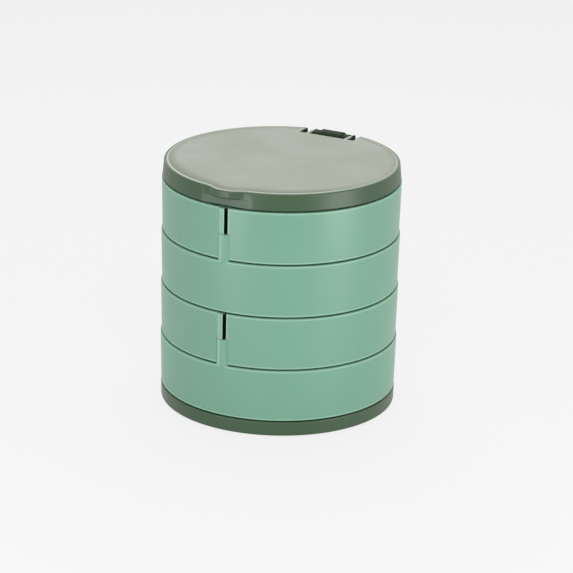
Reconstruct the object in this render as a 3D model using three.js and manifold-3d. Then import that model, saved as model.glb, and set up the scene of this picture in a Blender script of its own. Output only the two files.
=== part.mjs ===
// Round jewelry box: four trays that swing out on upright pins, on a low base, under a hinged lid with a mirror.
// Millimetres, +Z up, -Y front. The origin is the centre of the surface that the box stands on.
import * as THREE from "three";
import { mergeVertices } from "three/addons/utils/BufferGeometryUtils.js";
import Module from "manifold-3d";

const wasm = await Module();
wasm.setup();

// Driving dimensions of the body
const bodyRadius = 57.5;
const trayHeight = 25.5;
const stackGap = 0.5;
const baseHeight = 7;
const lidHeight = 8.15;
const wall = 2;
const floorThickness = 1.8;
const bodyDraft = 0.5;
const edgeRound = 0.6;

// Driving dimensions of the upright pivots
const pinRadius = 1.3;
const pinHeadRadius = 2.1;
const pinHeadHeight = 0.9;
const pinHeadSink = 0.4;
const pinRootDepth = 11;
const knuckleRadius = 3.2;
const knuckleProud = 1.2;
const pocketWall = 1.6;
const rootWall = 1;
const slitOffset = 0.5;
const slitWidth = 1.4;

// Driving dimensions of the inside of the trays
const partitionThickness = 1.6;
const partitionDrop = 2;
const rimChamfer = 0.4;
const floorFillet = 1;
const ringRollWidth = 7.5;
const ringSlotWidth = 5;
const ringPlateThickness = 2;
const ringHolderDrop = 5;
const ringSideGap = 0.6;

// Driving dimensions of the lid
const lidDraft = 0.7;
const lidInset = 0.3;
const lidRound = 0.5;
const panelThickness = 0.6;
const panelChamfer = 0.15;
const panelRim = 0.6;
const lidPlate = 2.6;
const lidWall = 2.6;
const lipProud = 2.6;
const lipHalfWidth = 10.8;
const lipHeight = 4;
const lipFlatShare = 0.2;
const scoopHalfWidth = 12.8;
const mirrorThickness = 2;
const mirrorCover = 1.2;
const bezelRim = 2.7;
const bezelLip = 0.9;
const bezelMargin = 1.2;

// Driving dimensions of the lid hinge
const hingeInset = 4.3;
const hingeDrop = 3.2;
const hingePinRadius = 1;
const barrelRadius = 4;
const barrelHalfLength = 5.9;
const shoulderRadius = 3.3;
const bracketHalfWidth = 9.5;
const armThickness = 1.5;
const armRadius = 2.6;
const armHornReach = 3.6;
const armHornShare = 0.4;
const slotWidth = 3.4;
const notchDepth = 11.5;
const notchWall = 1.6;
const plateThickness = 2.6;
const plateInset = 0.2;
const platePocketDepth = 12;
const padThickness = 1.8;
const padMargin = 2.3;
const ledgeHeight = 2;
const ledgeReach = 2.7;
const stopBack = 0.3;
const bracketScrewSpacing = 11;
const bracketScrewDrop = 6.5;
const bracketScrewRadius = 0.9;
const bracketScrewHeadRadius = 1.9;
const bracketScrewHeadHeight = 1.2;
const bracketScrewEndWall = 0.6;

// Driving dimensions of the base, its feet and its screws
const footProud = 0.5;
const footRadius = 5;
const footRecess = 1;
const footChamfer = 0.4;
const footInset = 15.5;
const baseScrewInset = 27.5;
const baseScrewRadius = 1.2;
const baseScrewHeadRadius = 2.3;
const baseScrewHeadHeight = 1.4;
const baseScrewSink = 1.9;
const baseScrewEndWall = 0.8;
const baseBossRadius = 4;
const trayBossRadius = 3.2;
const trayBossLength = 2;

// Clearances
const runClearance = 0.2;
const seatClearance = 0.3;
const pressClearance = 0.1;
const sideClearance = 0.2;
const overrun = 1;

// Counts
const bodySides = 56;
const pinSides = 24;
const footCount = 4;
const baseScrewCount = 3;
const trayLevels = 4;
const roundSteps = 2;
const lipSteps = 16;

// Materials as seen in the photograph
const mint = () => new THREE.MeshStandardMaterial({ color: 0x7aaa92, roughness: 0.45, metalness: 0 });
const sage = () => new THREE.MeshStandardMaterial({ color: 0x4a624a, roughness: 0.5, metalness: 0 });
const stoneGrey = () => new THREE.MeshStandardMaterial({ color: 0xb1b4ab, roughness: 0.55, metalness: 0 });
const darkSteel = () => new THREE.MeshStandardMaterial({ color: 0x3a3c3c, roughness: 0.4, metalness: 0.9 });
const brightSteel = () => new THREE.MeshStandardMaterial({ color: 0xa8abad, roughness: 0.3, metalness: 0.9 });
const silver = () => new THREE.MeshStandardMaterial({ color: 0xd8dcde, roughness: 0.05, metalness: 1 });
const softRubber = () => new THREE.MeshStandardMaterial({ color: 0x2b2d2b, roughness: 0.85, metalness: 0 });
const flock = () => new THREE.MeshStandardMaterial({ color: 0x5b7a66, roughness: 0.95, metalness: 0 });

// Places worked out from the sizes above
const baseTop = footProud + baseHeight;
const trayPitch = trayHeight + stackGap;
const trayBottom = (level) => baseTop + stackGap + level * trayPitch;
const lidBottom = trayBottom(trayLevels);
const innerRadius = bodyRadius - wall;
const pivotRadius = bodyRadius + knuckleProud - knuckleRadius;
const pocketTop = trayHeight / 2;
const postTop = trayPitch + pocketTop - seatClearance;
const hingeY = bodyRadius - hingeInset;
const hingeAboveLid = lidHeight - hingeDrop;
const hingeAboveTray = trayPitch + hingeAboveLid;
const plateInner = bodyRadius - plateInset - plateThickness;
const screwHeadSeat = plateInner - seatClearance - padThickness - pressClearance;
const armInner = bracketHalfWidth + sideClearance;
const armOuter = armInner + armThickness;
const notchHalfWidth = armOuter + slotWidth;
const notchInner = bodyRadius - notchDepth;

// A closed solid from a geometry, with the points that coincide made one.
function solidOf(geometry) {
  const bare = geometry.clone();
  bare.deleteAttribute("normal");
  bare.deleteAttribute("uv");
  const merged = mergeVertices(bare);
  const corners = merged.index.array;
  const kept = [];
  for (let i = 0; i < corners.length; i += 3) {
    const [a, b, c] = corners.slice(i, i + 3);
    if (a !== b && b !== c && c !== a) kept.push(a, b, c);
  }
  const vertProperties = merged.attributes.position.array;
  return new wasm.Manifold(new wasm.Mesh({ numProp: 3, vertProperties, triVerts: new Uint32Array(kept) }));
}

// A named mesh with its own geometry and material.
function meshOf(name, solid, material) {
  const { vertProperties, triVerts } = solid.getMesh();
  const geometry = new THREE.BufferGeometry();
  geometry.setAttribute("position", new THREE.BufferAttribute(vertProperties, 3));
  geometry.setIndex(new THREE.BufferAttribute(triVerts, 1));
  geometry.computeVertexNormals();
  const mesh = new THREE.Mesh(geometry, material);
  mesh.name = name;
  return mesh;
}

const joined = (solids) => solids.reduce((whole, next) => whole.add(next));
const cutFrom = (solid, cutters) => cutters.reduce((whole, next) => whole.subtract(next), solid);

// Points of a quarter turn about a corner's centre, from one angle to another.
function arc(centreX, centreY, radius, from, to, steps = roundSteps) {
  const points = [];
  for (let i = 0; i <= steps; i++) {
    const angle = from + ((to - from) * i) / steps;
    points.push([centreX + radius * Math.cos(angle), centreY + radius * Math.sin(angle)]);
  }
  return points;
}

// A solid turned about the Z axis from a profile of [radius, height] points that runs outwards, up and back in.
function turned(profile, sides = bodySides) {
  const points = profile.map(([radius, height]) => new THREE.Vector2(radius, height));
  return solidOf(new THREE.LatheGeometry(points, sides).rotateX(Math.PI / 2));
}

// An upright round bar between two heights.
function upright(radius, low, high, x = 0, y = 0, sides = pinSides) {
  const bar = new THREE.CylinderGeometry(radius, radius, high - low, sides).rotateX(Math.PI / 2);
  return solidOf(bar.translate(x, y, (low + high) / 2));
}

// A round bar along X through a point of the YZ plane, reaching as far to each side.
function crossBar(radius, halfLength, y, z, sides = pinSides) {
  const bar = new THREE.CylinderGeometry(radius, radius, 2 * halfLength, sides).rotateZ(Math.PI / 2);
  return solidOf(bar.translate(0, y, z));
}

// A block between two corners.
function block([x0, y0, z0], [x1, y1, z1]) {
  const box = new THREE.BoxGeometry(x1 - x0, y1 - y0, z1 - z0);
  return solidOf(box.translate((x0 + x1) / 2, (y0 + y1) / 2, (z0 + z1) / 2));
}

// An outline of [y, z] points drawn out along X.
function sideways(outline, x0, x1) {
  const shape = new THREE.Shape(outline.map(([y, z]) => new THREE.Vector2(y, z)));
  const run = new THREE.ExtrudeGeometry(shape, { depth: x1 - x0, bevelEnabled: false });
  const turn = new THREE.Matrix4().makeBasis(
    new THREE.Vector3(0, 1, 0),
    new THREE.Vector3(0, 0, 1),
    new THREE.Vector3(1, 0, 0),
  );
  return solidOf(run.applyMatrix4(turn).translate(x0, 0, 0));
}

// The angle at which the front of the box lies.
const front = -Math.PI / 2;

// The angles of the lid's outline: even steps all round, and finer ones along the finger lip.
function lipAngles(radius) {
  const halfAngle = lipHalfWidth / radius;
  const fine = Array.from({ length: lipSteps + 1 }, (unused, i) => (2 * i) / lipSteps - 1);
  const even = Array.from({ length: bodySides }, (unused, i) => (2 * Math.PI * (i + 1)) / (bodySides + 1));
  const clear = even.filter((turn) => turn > halfAngle && turn < 2 * Math.PI - halfAngle);
  return [...fine.map((share) => front + share * halfAngle), ...clear.map((turn) => front + turn)];
}

// The lid's radius at an angle: a circle with one smooth bulge at the front, the finger lip.
function lipRadius(radius, angle) {
  const away = Math.abs(Math.atan2(Math.sin(angle - front), Math.cos(angle - front)));
  const along = (away * radius) / lipHalfWidth;
  if (along >= 1) return radius;
  const fall = Math.max(0, (along - lipFlatShare) / (1 - lipFlatShare));
  return radius + (lipProud * (1 + Math.cos(Math.PI * fall))) / 2;
}

// A solid with the lid's outline, from rings of { inset, height } that run upwards.
function lipped(radius, rings) {
  const angles = lipAngles(radius);
  const sides = angles.length;
  const positions = [];
  const corners = [];
  for (const { inset, height } of rings)
    for (const angle of angles) {
      const reach = lipRadius(radius, angle) - inset;
      positions.push(reach * Math.cos(angle), reach * Math.sin(angle), height);
    }
  for (let ring = 0; ring + 1 < rings.length; ring++)
    for (let i = 0; i < sides; i++) {
      const a = ring * sides + i;
      const b = ring * sides + ((i + 1) % sides);
      corners.push(a, b, b + sides, a, b + sides, a + sides);
    }
  const low = positions.length / 3;
  positions.push(0, 0, rings[0].height, 0, 0, rings[rings.length - 1].height);
  const top = (rings.length - 1) * sides;
  for (let i = 0; i < sides; i++) {
    const next = (i + 1) % sides;
    corners.push(low, next, i, low + 1, top + i, top + next);
  }
  const geometry = new THREE.BufferGeometry();
  geometry.setAttribute("position", new THREE.Float32BufferAttribute(positions, 3));
  geometry.setIndex(corners);
  return solidOf(geometry);
}

// Rings for a rounded top edge, for a solid with the lid's outline.
function roundedRings(radius, top) {
  return arc(0, 0, radius, 0, Math.PI / 2).map(([across, up]) => ({
    inset: radius - across,
    height: top - radius + up,
  }));
}

// Places evenly round the axis.
function ringPlaces(count, radius, start) {
  return Array.from({ length: count }, (unused, i) => {
    const angle = start + (2 * Math.PI * i) / count;
    return [radius * Math.cos(angle), radius * Math.sin(angle)];
  });
}
const footPlaces = ringPlaces(footCount, bodyRadius - footInset, Math.PI / 4);
const baseScrewPlaces = ringPlaces(baseScrewCount, bodyRadius - baseScrewInset, Math.PI / 2);

// Base: a shallow dish that opens upwards under the bottom tray.
function baseShell() {
  const low = bodyRadius - bodyDraft;
  const shell = turned([
    [0, footProud],
    ...arc(low - edgeRound, footProud + edgeRound, edgeRound, -Math.PI / 2, 0),
    ...arc(bodyRadius - edgeRound, baseTop - edgeRound, edgeRound, 0, Math.PI / 2),
    [innerRadius, baseTop],
    [innerRadius, footProud + floorThickness],
    [0, footProud + floorThickness],
  ]);
  const bossTop = trayBottom(0) - trayBossLength - seatClearance;
  const shoulder = footProud + baseScrewSink;
  const parts = [shell];
  const cuts = [];
  for (const [x, y] of baseScrewPlaces) {
    parts.push(upright(baseBossRadius, footProud + floorThickness / 2, bossTop, x, y));
    cuts.push(upright(baseScrewHeadRadius + seatClearance, footProud - overrun, shoulder, x, y));
    cuts.push(upright(baseScrewRadius + seatClearance, shoulder - overrun, bossTop + overrun, x, y));
  }
  for (const [x, y] of footPlaces)
    cuts.push(upright(footRadius + sideClearance, footProud - overrun, footProud + footRecess, x, y));
  return meshOf("base_shell", cutFrom(joined(parts), cuts), sage());
}

function rubberFoot(name) {
  const height = footProud + footRecess - pressClearance;
  const solid = turned(
    [
      [0, 0],
      [footRadius - footChamfer, 0],
      [footRadius, footChamfer],
      [footRadius, height],
      [0, height],
    ],
    pinSides,
  );
  return meshOf(name, solid, softRubber());
}

// A screw with a flat head, standing on its head.
function screw(name, headRadius, headHeight, radius, length, material) {
  const solid = turned(
    [
      [0, 0],
      [headRadius, 0],
      [headRadius, headHeight],
      [radius, headHeight],
      [radius, headHeight + length],
      [0, headHeight + length],
    ],
    pinSides,
  );
  return meshOf(name, solid, material);
}

// Tray: the plain cup with its rounded edges.
function trayCup() {
  const low = bodyRadius - bodyDraft;
  const innerLow = innerRadius - bodyDraft;
  return turned([
    [0, 0],
    ...arc(low - edgeRound, edgeRound, edgeRound, -Math.PI / 2, 0),
    ...arc(bodyRadius - edgeRound, trayHeight - edgeRound, edgeRound, 0, Math.PI / 2),
    [innerRadius + rimChamfer, trayHeight],
    [innerRadius, trayHeight - rimChamfer],
    [innerLow, floorThickness + floorFillet],
    [innerLow - floorFillet, floorThickness],
    [0, floorThickness],
  ]);
}

// What stands inside the wall is kept from showing on its outside.
const insideWall = () => upright(bodyRadius - wall / 2, 0, trayHeight, 0, 0, bodySides);

// The slit that splits a barrel from the front, from the pocket to the tray's rim.
function slit(y) {
  const low = [slitOffset, y - knuckleRadius - overrun, pocketTop - overrun];
  return block(low, [slitOffset + slitWidth, y, trayHeight + overrun]);
}

// The pocket at the front of a tray that swings on the one below, with the split barrel above it.
function pivotPocket() {
  const y = -pivotRadius;
  const pocketRadius = knuckleRadius + runClearance;
  const boss = upright(pocketRadius + pocketWall, 0, trayHeight, 0, y).intersect(insideWall());
  const barrel = upright(knuckleRadius, pocketTop, trayHeight, 0, y);
  const headSeat = trayHeight - pinHeadSink - pinHeadHeight - seatClearance;
  return {
    parts: [boss, barrel],
    cuts: [
      upright(pocketRadius, -overrun, pocketTop, 0, y),
      upright(pinRadius + seatClearance, pocketTop - overrun, trayHeight, 0, y),
      upright(pinHeadRadius + seatClearance, headSeat, trayHeight + overrun, 0, y),
      slit(y),
    ],
  };
}

// The post at the back of a tray that carries the one above.
function pivotPost() {
  const y = pivotRadius;
  const holeLow = trayHeight - pinRootDepth - seatClearance;
  const root = upright(knuckleRadius + rootWall, 0, trayHeight, 0, y).intersect(insideWall());
  return {
    parts: [root, upright(knuckleRadius, trayHeight - edgeRound, postTop, 0, y)],
    cuts: [upright(pinRadius + pressClearance, holeLow, postTop + overrun, 0, y)],
  };
}

// Partitions as [along, from, to]: a wall along X or Y through the axis, between two shares of the inner radius.
function partitions(runs) {
  const half = partitionThickness / 2;
  const top = trayHeight - partitionDrop;
  const reach = bodyRadius - wall / 2;
  return runs.map(([along, fromShare, toShare]) => {
    const from = fromShare * reach;
    const to = toShare * reach;
    const low = floorThickness / 2;
    const wallBlock =
      along === "x" ? block([from, -half, low], [to, half, top]) : block([-half, from, low], [half, to, top]);
    return wallBlock.intersect(insideWall());
  });
}

// The pad and pocket at the back wall of the top tray that take the hinge bracket.
function bracketSeat() {
  const seatHalf = bracketHalfWidth + seatClearance;
  const seatInner = plateInner - seatClearance;
  const padHalf = seatHalf + padMargin;
  const pad = block([-padHalf, seatInner - padThickness, 0], [padHalf, bodyRadius, trayHeight]);
  const pocketLow = trayHeight - platePocketDepth - seatClearance;
  const cuts = [block([-seatHalf, seatInner, pocketLow], [seatHalf, bodyRadius + overrun, trayHeight + overrun])];
  for (const side of [-1, 1])
    cuts.push(bracketScrewHole(side, seatInner - padThickness - overrun, bodyRadius, sideClearance));
  return { parts: [pad.intersect(insideWall())], cuts };
}

const bracketScrewX = (side) => (side * bracketScrewSpacing) / 2;
const bracketScrewZ = trayHeight - bracketScrewDrop;

function bracketScrewHole(side, y0, y1, clearance) {
  const radius = bracketScrewRadius + clearance;
  const hole = new THREE.CylinderGeometry(radius, radius, y1 - y0, pinSides);
  return solidOf(hole.translate(bracketScrewX(side), (y0 + y1) / 2, bracketScrewZ));
}

function tray(name, features, extraParts = [], extraCuts = []) {
  const parts = features.flatMap((feature) => feature.parts);
  const cuts = features.flatMap((feature) => feature.cuts);
  const whole = joined([trayCup(), ...extraParts, ...parts]);
  return meshOf(name, cutFrom(whole, [...cuts, ...extraCuts]), mint());
}

// Short bosses under the bottom tray that the base screws bite into.
function baseScrewBosses() {
  const parts = [];
  const cuts = [];
  const holeTop = floorThickness - baseScrewEndWall + pressClearance;
  for (const [x, y] of baseScrewPlaces) {
    parts.push(upright(trayBossRadius, -trayBossLength, floorThickness / 2, -x, -y));
    cuts.push(upright(baseScrewRadius + pressClearance, -trayBossLength - overrun, holeTop, -x, -y));
  }
  return { parts, cuts };
}

// The headed pin of an upright pivot, in the frame of the tray that carries it.
function pivotPin(name) {
  const low = trayHeight - pinRootDepth;
  const headTop = trayPitch + trayHeight - pinHeadSink;
  const solid = joined([
    upright(pinRadius, low, headTop - pinHeadHeight / 2, 0, pivotRadius),
    upright(pinHeadRadius, headTop - pinHeadHeight, headTop, 0, pivotRadius),
  ]);
  return meshOf(name, solid, darkSteel());
}

// The ring holder: padded rolls side by side on a plate, as many as fit in the back half of the top tray.
function ringHolder() {
  const low = floorThickness + pressClearance;
  const top = trayHeight - ringHolderDrop;
  const start = partitionThickness / 2 + ringSideGap;
  const room = screwHeadSeat - bracketScrewHeadHeight - ringSideGap - start;
  const pitch = ringRollWidth + ringSlotWidth;
  const rollCount = Math.floor((room + ringSlotWidth) / pitch);
  const rollRadius = ringRollWidth / 2;
  const outline = [
    [start, low],
    [start + rollCount * pitch - ringSlotWidth, low],
  ];
  for (let i = rollCount - 1; i >= 0; i--) {
    const rollStart = start + i * pitch;
    const middle = rollStart + rollRadius;
    outline.push([rollStart + ringRollWidth, low + ringPlateThickness]);
    outline.push(...arc(middle, top - rollRadius, rollRadius, 0, Math.PI, 2 * roundSteps));
    if (i > 0) outline.push([rollStart, low + ringPlateThickness]);
  }
  const holderRadius = innerRadius - bodyDraft - floorFillet - ringSideGap;
  const rolls = sideways(outline, -holderRadius, holderRadius);
  const solid = rolls.intersect(upright(holderRadius, 0, trayHeight, 0, 0, bodySides));
  return meshOf("ring_holder", solid, flock());
}

// The hinge bracket: a plate let into the back of the top tray, a ledge over its rim and a stepped barrel.
function hingeBracket() {
  const skin = upright(bodyRadius - plateInset, 0, hingeAboveTray, 0, 0, bodySides);
  const low = trayHeight - platePocketDepth;
  const ledgeLow = trayHeight + pressClearance;
  const ledgeTop = ledgeLow + ledgeHeight;
  const plate = block([-bracketHalfWidth, plateInner, low], [bracketHalfWidth, bodyRadius, hingeAboveTray]);
  const ledgeInner = hingeY - ledgeReach;
  const ledge = block([-bracketHalfWidth, ledgeInner, ledgeLow], [bracketHalfWidth, bodyRadius, ledgeTop]);
  const stops = block([-armOuter, ledgeInner, ledgeLow], [armOuter, hingeY - stopBack, ledgeTop]);
  const parts = [
    plate.intersect(skin),
    ledge.intersect(skin),
    stops,
    crossBar(barrelRadius, barrelHalfLength, hingeY, hingeAboveTray),
    crossBar(shoulderRadius, bracketHalfWidth, hingeY, hingeAboveTray),
  ];
  const cuts = [crossBar(hingePinRadius + sideClearance, bracketHalfWidth + overrun, hingeY, hingeAboveTray)];
  const holeEnd = bodyRadius - plateInset - bracketScrewEndWall;
  for (const side of [-1, 1]) cuts.push(bracketScrewHole(side, plateInner - overrun, holeEnd, pressClearance));
  return meshOf("hinge_bracket", cutFrom(joined(parts), cuts), sage());
}

function bracketScrew(name, side) {
  const length = bodyRadius - plateInset - bracketScrewEndWall - pressClearance - screwHeadSeat;
  const mesh = screw(
    name,
    bracketScrewHeadRadius,
    bracketScrewHeadHeight,
    bracketScrewRadius,
    length,
    brightSteel(),
  );
  mesh.rotation.x = -Math.PI / 2;
  mesh.position.set(bracketScrewX(side), screwHeadSeat - bracketScrewHeadHeight, bracketScrewZ);
  return mesh;
}

function hingePin() {
  const pin = crossBar(hingePinRadius, armOuter - pressClearance, hingeY, hingeAboveTray);
  return meshOf("hinge_pin", pin, brightSteel());
}

// The lid's sizes, in the lid's own frame with its underside at zero.
const bandRadius = bodyRadius - lidInset;
const bandTopRadius = bandRadius - lidDraft;
const lipRootRadius = bandTopRadius - pressClearance;
const bandTop = lidHeight - panelThickness;
const plateUnder = bandTop - lidPlate;
const mirrorLow = plateUnder - pressClearance - mirrorThickness;
const bezelRadius = notchInner - notchWall - bezelMargin;
const mirrorRadius = bezelRadius - bezelRim;

// The notch for the hinge, or with a margin the ground that the panel leaves free round it.
function notch(low, high, margin = 0) {
  const half = notchHalfWidth + margin;
  return block([-half, notchInner - margin, low], [half, bodyRadius + lipProud, high]);
}

// The strips over the rim and the arms through which the panel's two ears run, with a margin round each.
function earStrips(start, end, low, high, margin) {
  return [-armOuter, armInner].map((x) =>
    block([x - margin, start, low], [x + armThickness + margin, end, high]),
  );
}

// Lid: the flat finger recess under the lip, which runs out into the round wall at both ends.
function scoop() {
  const flatReach = Math.sqrt(bandRadius ** 2 - scoopHalfWidth ** 2);
  const half = scoopHalfWidth + overrun;
  return block([-half, -bodyRadius - overrun, -overrun], [half, -flatReach, lidHeight - lipHeight]);
}

// Lid: an arm that holds one end of the hinge pin, with a horn behind the pin that meets the stop when open.
function hingeArm(side) {
  const axisUp = hingeAboveLid;
  const topUp = bandTop - axisUp;
  const tip = Math.sqrt((armHornReach + stopBack / 2) ** 2 - topUp ** 2);
  const outline = [
    [notchInner - overrun, axisUp - armRadius],
    ...arc(hingeY, axisUp, armRadius, -Math.PI / 2, 0, 2 * roundSteps),
    [hingeY + armHornReach, axisUp + armHornShare * topUp],
    [hingeY + tip, bandTop],
    [notchInner - overrun, bandTop],
  ];
  return sideways(outline, side > 0 ? armInner : -armOuter, side > 0 ? armOuter : -armInner);
}

function lidShell() {
  const band = turned([
    [0, 0],
    ...arc(bandRadius - edgeRound, edgeRound, edgeRound, -Math.PI / 2, 0),
    ...arc(bandTopRadius - lidRound, lidHeight - lidRound, lidRound, 0, Math.PI / 2),
    [0, lidHeight],
  ]);
  const lip = lipped(lipRootRadius, [
    { inset: 0, height: lidHeight - lipHeight },
    ...roundedRings(lidRound, lidHeight),
  ]);
  const recess = lipped(lipRootRadius - panelRim, [
    { inset: 0, height: bandTop },
    { inset: 0, height: lidHeight + overrun },
  ]);
  const rimmedRecess = recess.subtract(notch(0, lidHeight + 2 * overrun, panelRim));
  const surround = block(
    [-notchHalfWidth - notchWall, notchInner - notchWall, -overrun],
    [notchHalfWidth + notchWall, bodyRadius, lidHeight],
  );
  const cavity = upright(bandRadius - lidWall, -overrun, plateUnder, 0, 0, bodySides).subtract(surround);
  const shell = cutFrom(band, [scoop()]).add(lip);
  const passages = earStrips(notchInner - 2 * panelRim, hingeY, bandTop, lidHeight + overrun, pressClearance);
  const notched = notch(-overrun, lidHeight + overrun);
  const hollow = cutFrom(shell, [cavity, rimmedRecess, ...passages, notched]);
  const arms = joined([hollow, hingeArm(1), hingeArm(-1)]);
  const pinHole = crossBar(hingePinRadius + pressClearance, armOuter + overrun, hingeY, hingeAboveLid);
  return meshOf("lid_shell", arms.subtract(pinHole), sage());
}

function lidTopPanel() {
  const disc = lipped(lipRootRadius - panelRim - pressClearance, [
    { inset: 0, height: bandTop },
    { inset: 0, height: lidHeight - panelChamfer },
    { inset: panelChamfer, height: lidHeight },
  ]);
  const cleared = disc.subtract(notch(0, lidHeight + overrun, panelRim + pressClearance));
  const ears = earStrips(notchInner - 2 * panelRim, hingeY + armRadius, bandTop, lidHeight, 0);
  return meshOf("lid_top_panel", joined([cleared, ...ears]), stoneGrey());
}

function lidMirror() {
  const disc = upright(mirrorRadius, mirrorLow, mirrorLow + mirrorThickness, 0, 0, bodySides);
  return meshOf("lid_mirror", disc, silver());
}

function mirrorBezel() {
  const low = mirrorLow - pressClearance - bezelLip;
  const opening = mirrorRadius - mirrorCover;
  const seat = mirrorRadius + seatClearance;
  const lipTop = mirrorLow - pressClearance;
  const top = plateUnder - pressClearance;
  const solid = turned([
    [opening, low],
    [bezelRadius, low],
    [bezelRadius, top],
    [seat, top],
    [seat, lipTop],
    [opening, lipTop],
    [opening, low],
  ]);
  return meshOf("mirror_bezel", solid, sage());
}

// Assembly: each tray's group stands at its level, and every other one is turned half round.
const box = new THREE.Group();

const base = new THREE.Group();
base.add(baseShell());
footPlaces.forEach(([x, y], i) => {
  const foot = rubberFoot(`rubber_foot_${i + 1}`);
  foot.position.set(x, y, 0);
  base.add(foot);
});
const baseHeadTop = footProud + baseScrewSink - pressClearance;
const baseScrewEnd = trayBottom(0) + floorThickness - baseScrewEndWall;
baseScrewPlaces.forEach(([x, y], i) => {
  const fastener = screw(
    `base_screw_${i + 1}`,
    baseScrewHeadRadius,
    baseScrewHeadHeight,
    baseScrewRadius,
    baseScrewEnd - baseHeadTop,
    brightSteel(),
  );
  fastener.position.set(x, y, baseHeadTop - baseScrewHeadHeight);
  base.add(fastener);
});
box.add(base);

const trayGroups = [0, 1, 2, 3].map((level) => {
  const group = new THREE.Group();
  group.position.z = trayBottom(level);
  group.rotation.z = level % 2 ? 0 : Math.PI;
  box.add(group);
  return group;
});
const [bottomTray, thirdTray, secondTray, topTray] = trayGroups;

bottomTray.add(tray("tray_4", [pivotPost(), baseScrewBosses()], partitions([["y", -1, 1]])));
bottomTray.add(pivotPin("pivot_pin_3"));

const teePartitions = [
  ["x", -1, 1],
  ["y", 0, 1],
];
thirdTray.add(tray("tray_3", [pivotPocket(), pivotPost()], partitions(teePartitions)));
thirdTray.add(pivotPin("pivot_pin_2"));

const crossPartitions = [
  ["x", -1, 1],
  ["y", -1, 1],
];
secondTray.add(tray("tray_2", [pivotPocket(), pivotPost()], partitions(crossPartitions)));
secondTray.add(pivotPin("pivot_pin_1"));

topTray.add(tray("tray_1", [pivotPocket(), bracketSeat()], partitions([["x", -1, 1]])));
topTray.add(ringHolder(), hingeBracket(), hingePin());
topTray.add(bracketScrew("hinge_bracket_screw_1", -1), bracketScrew("hinge_bracket_screw_2", 1));

const lid = new THREE.Group();
lid.position.z = lidBottom;
lid.add(lidShell(), lidTopPanel(), lidMirror(), mirrorBezel());
box.add(lid);

export default box;
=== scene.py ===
"""Rotating jewelry box: four stacked trays on upright pins, a low base and a hinged lid with a mirror.

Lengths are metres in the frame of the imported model: +Z up, -Y front, origin at the middle of the
surface it stands on.
"""
import logging
import math
from contextlib import contextmanager
from dataclasses import dataclass, field, replace
from enum import Enum
from typing import Callable, Iterable, Iterator, Mapping, Sequence

import bmesh
import bpy
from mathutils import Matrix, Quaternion, Vector


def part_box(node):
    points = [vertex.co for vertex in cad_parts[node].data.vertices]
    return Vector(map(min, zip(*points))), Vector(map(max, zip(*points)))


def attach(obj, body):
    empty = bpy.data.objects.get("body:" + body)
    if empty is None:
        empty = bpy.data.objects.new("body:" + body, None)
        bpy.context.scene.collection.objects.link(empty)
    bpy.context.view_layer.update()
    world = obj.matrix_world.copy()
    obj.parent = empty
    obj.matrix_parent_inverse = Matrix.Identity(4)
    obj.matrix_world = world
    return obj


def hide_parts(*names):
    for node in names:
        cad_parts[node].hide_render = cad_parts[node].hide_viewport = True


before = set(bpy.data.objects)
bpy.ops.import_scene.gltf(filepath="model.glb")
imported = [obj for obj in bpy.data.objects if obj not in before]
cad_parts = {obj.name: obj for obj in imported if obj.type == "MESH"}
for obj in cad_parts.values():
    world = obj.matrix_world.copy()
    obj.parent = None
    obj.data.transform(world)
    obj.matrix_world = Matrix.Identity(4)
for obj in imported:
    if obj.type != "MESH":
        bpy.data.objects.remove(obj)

LOG = logging.getLogger("jewelry_box")
MM = 0.001

Point = tuple[float, float]
Profile = Sequence[Point]
Colour = tuple[float, float, float]
Piece = bpy.types.Object
Node = bpy.types.Node
Socket = bpy.types.NodeSocket
Value = float | Socket


def mm(value: float) -> float:
    """Millimetres as metres."""
    return value * MM


def from_bytes(red: int, green: int, blue: int) -> Colour:
    """A colour as a picture shows it, in bytes, made linear.

    Args:
        red: Red from 0 to 255.
        green: Green from 0 to 255.
        blue: Blue from 0 to 255.

    Returns:
        The linear red, green and blue, each from 0 to 1.
    """
    def linear(byte: int) -> float:
        """One channel made linear, by the curve that screens use."""
        share = byte / 255
        return share / 12.92 if share <= 0.04045 else ((share + 0.055) / 1.055) ** 2.4

    return linear(red), linear(green), linear(blue)


def arc(centre: Point, radius: float, start: float, end: float, steps: int) -> list[Point]:
    """Points of an arc, in a plane of two coordinates.

    Args:
        centre: The arc's centre.
        radius: Its radius.
        start: The angle it starts at, in degrees.
        end: The angle it ends at, in degrees.
        steps: How many straight steps it is made of.

    Returns:
        The points, both ends included.
    """
    points = []
    for i in range(steps + 1):
        angle = math.radians(start + (end - start) * i / steps)
        points.append((centre[0] + radius * math.cos(angle), centre[1] + radius * math.sin(angle)))
    return points


def middle_of(node: str) -> tuple[float, ...]:
    """The middle of a node's box."""
    return tuple((low + high) / 2 for low, high in zip(*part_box(node)))


class Joining(Enum):
    """How one solid meets another."""

    ADD = "UNION"
    CUT = "DIFFERENCE"
    KEEP_COMMON = "INTERSECT"


class Element(Enum):
    """What an edit mode selection is made of."""

    CORNER = "VERT"
    EDGE = "EDGE"
    FACE = "FACE"


class Slot(Enum):
    """The record's material slots."""

    MINT = "mint_plastic"
    SAGE = "sage_plastic"
    GREY = "grey_plastic"
    RUBBER = "foot_rubber"
    BRIGHT_STEEL = "bright_steel"
    DARK_STEEL = "dark_steel"
    FLOCK = "flocked_pad"
    MIRROR = "mirror_glass"


class Body(Enum):
    """The bodies that pieces ride on."""

    BOTTOM = "bottom_stack"
    THIRD = "third_tray"
    SECOND = "second_tray"
    TOP = "top_tray"
    LID = "lid"


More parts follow.
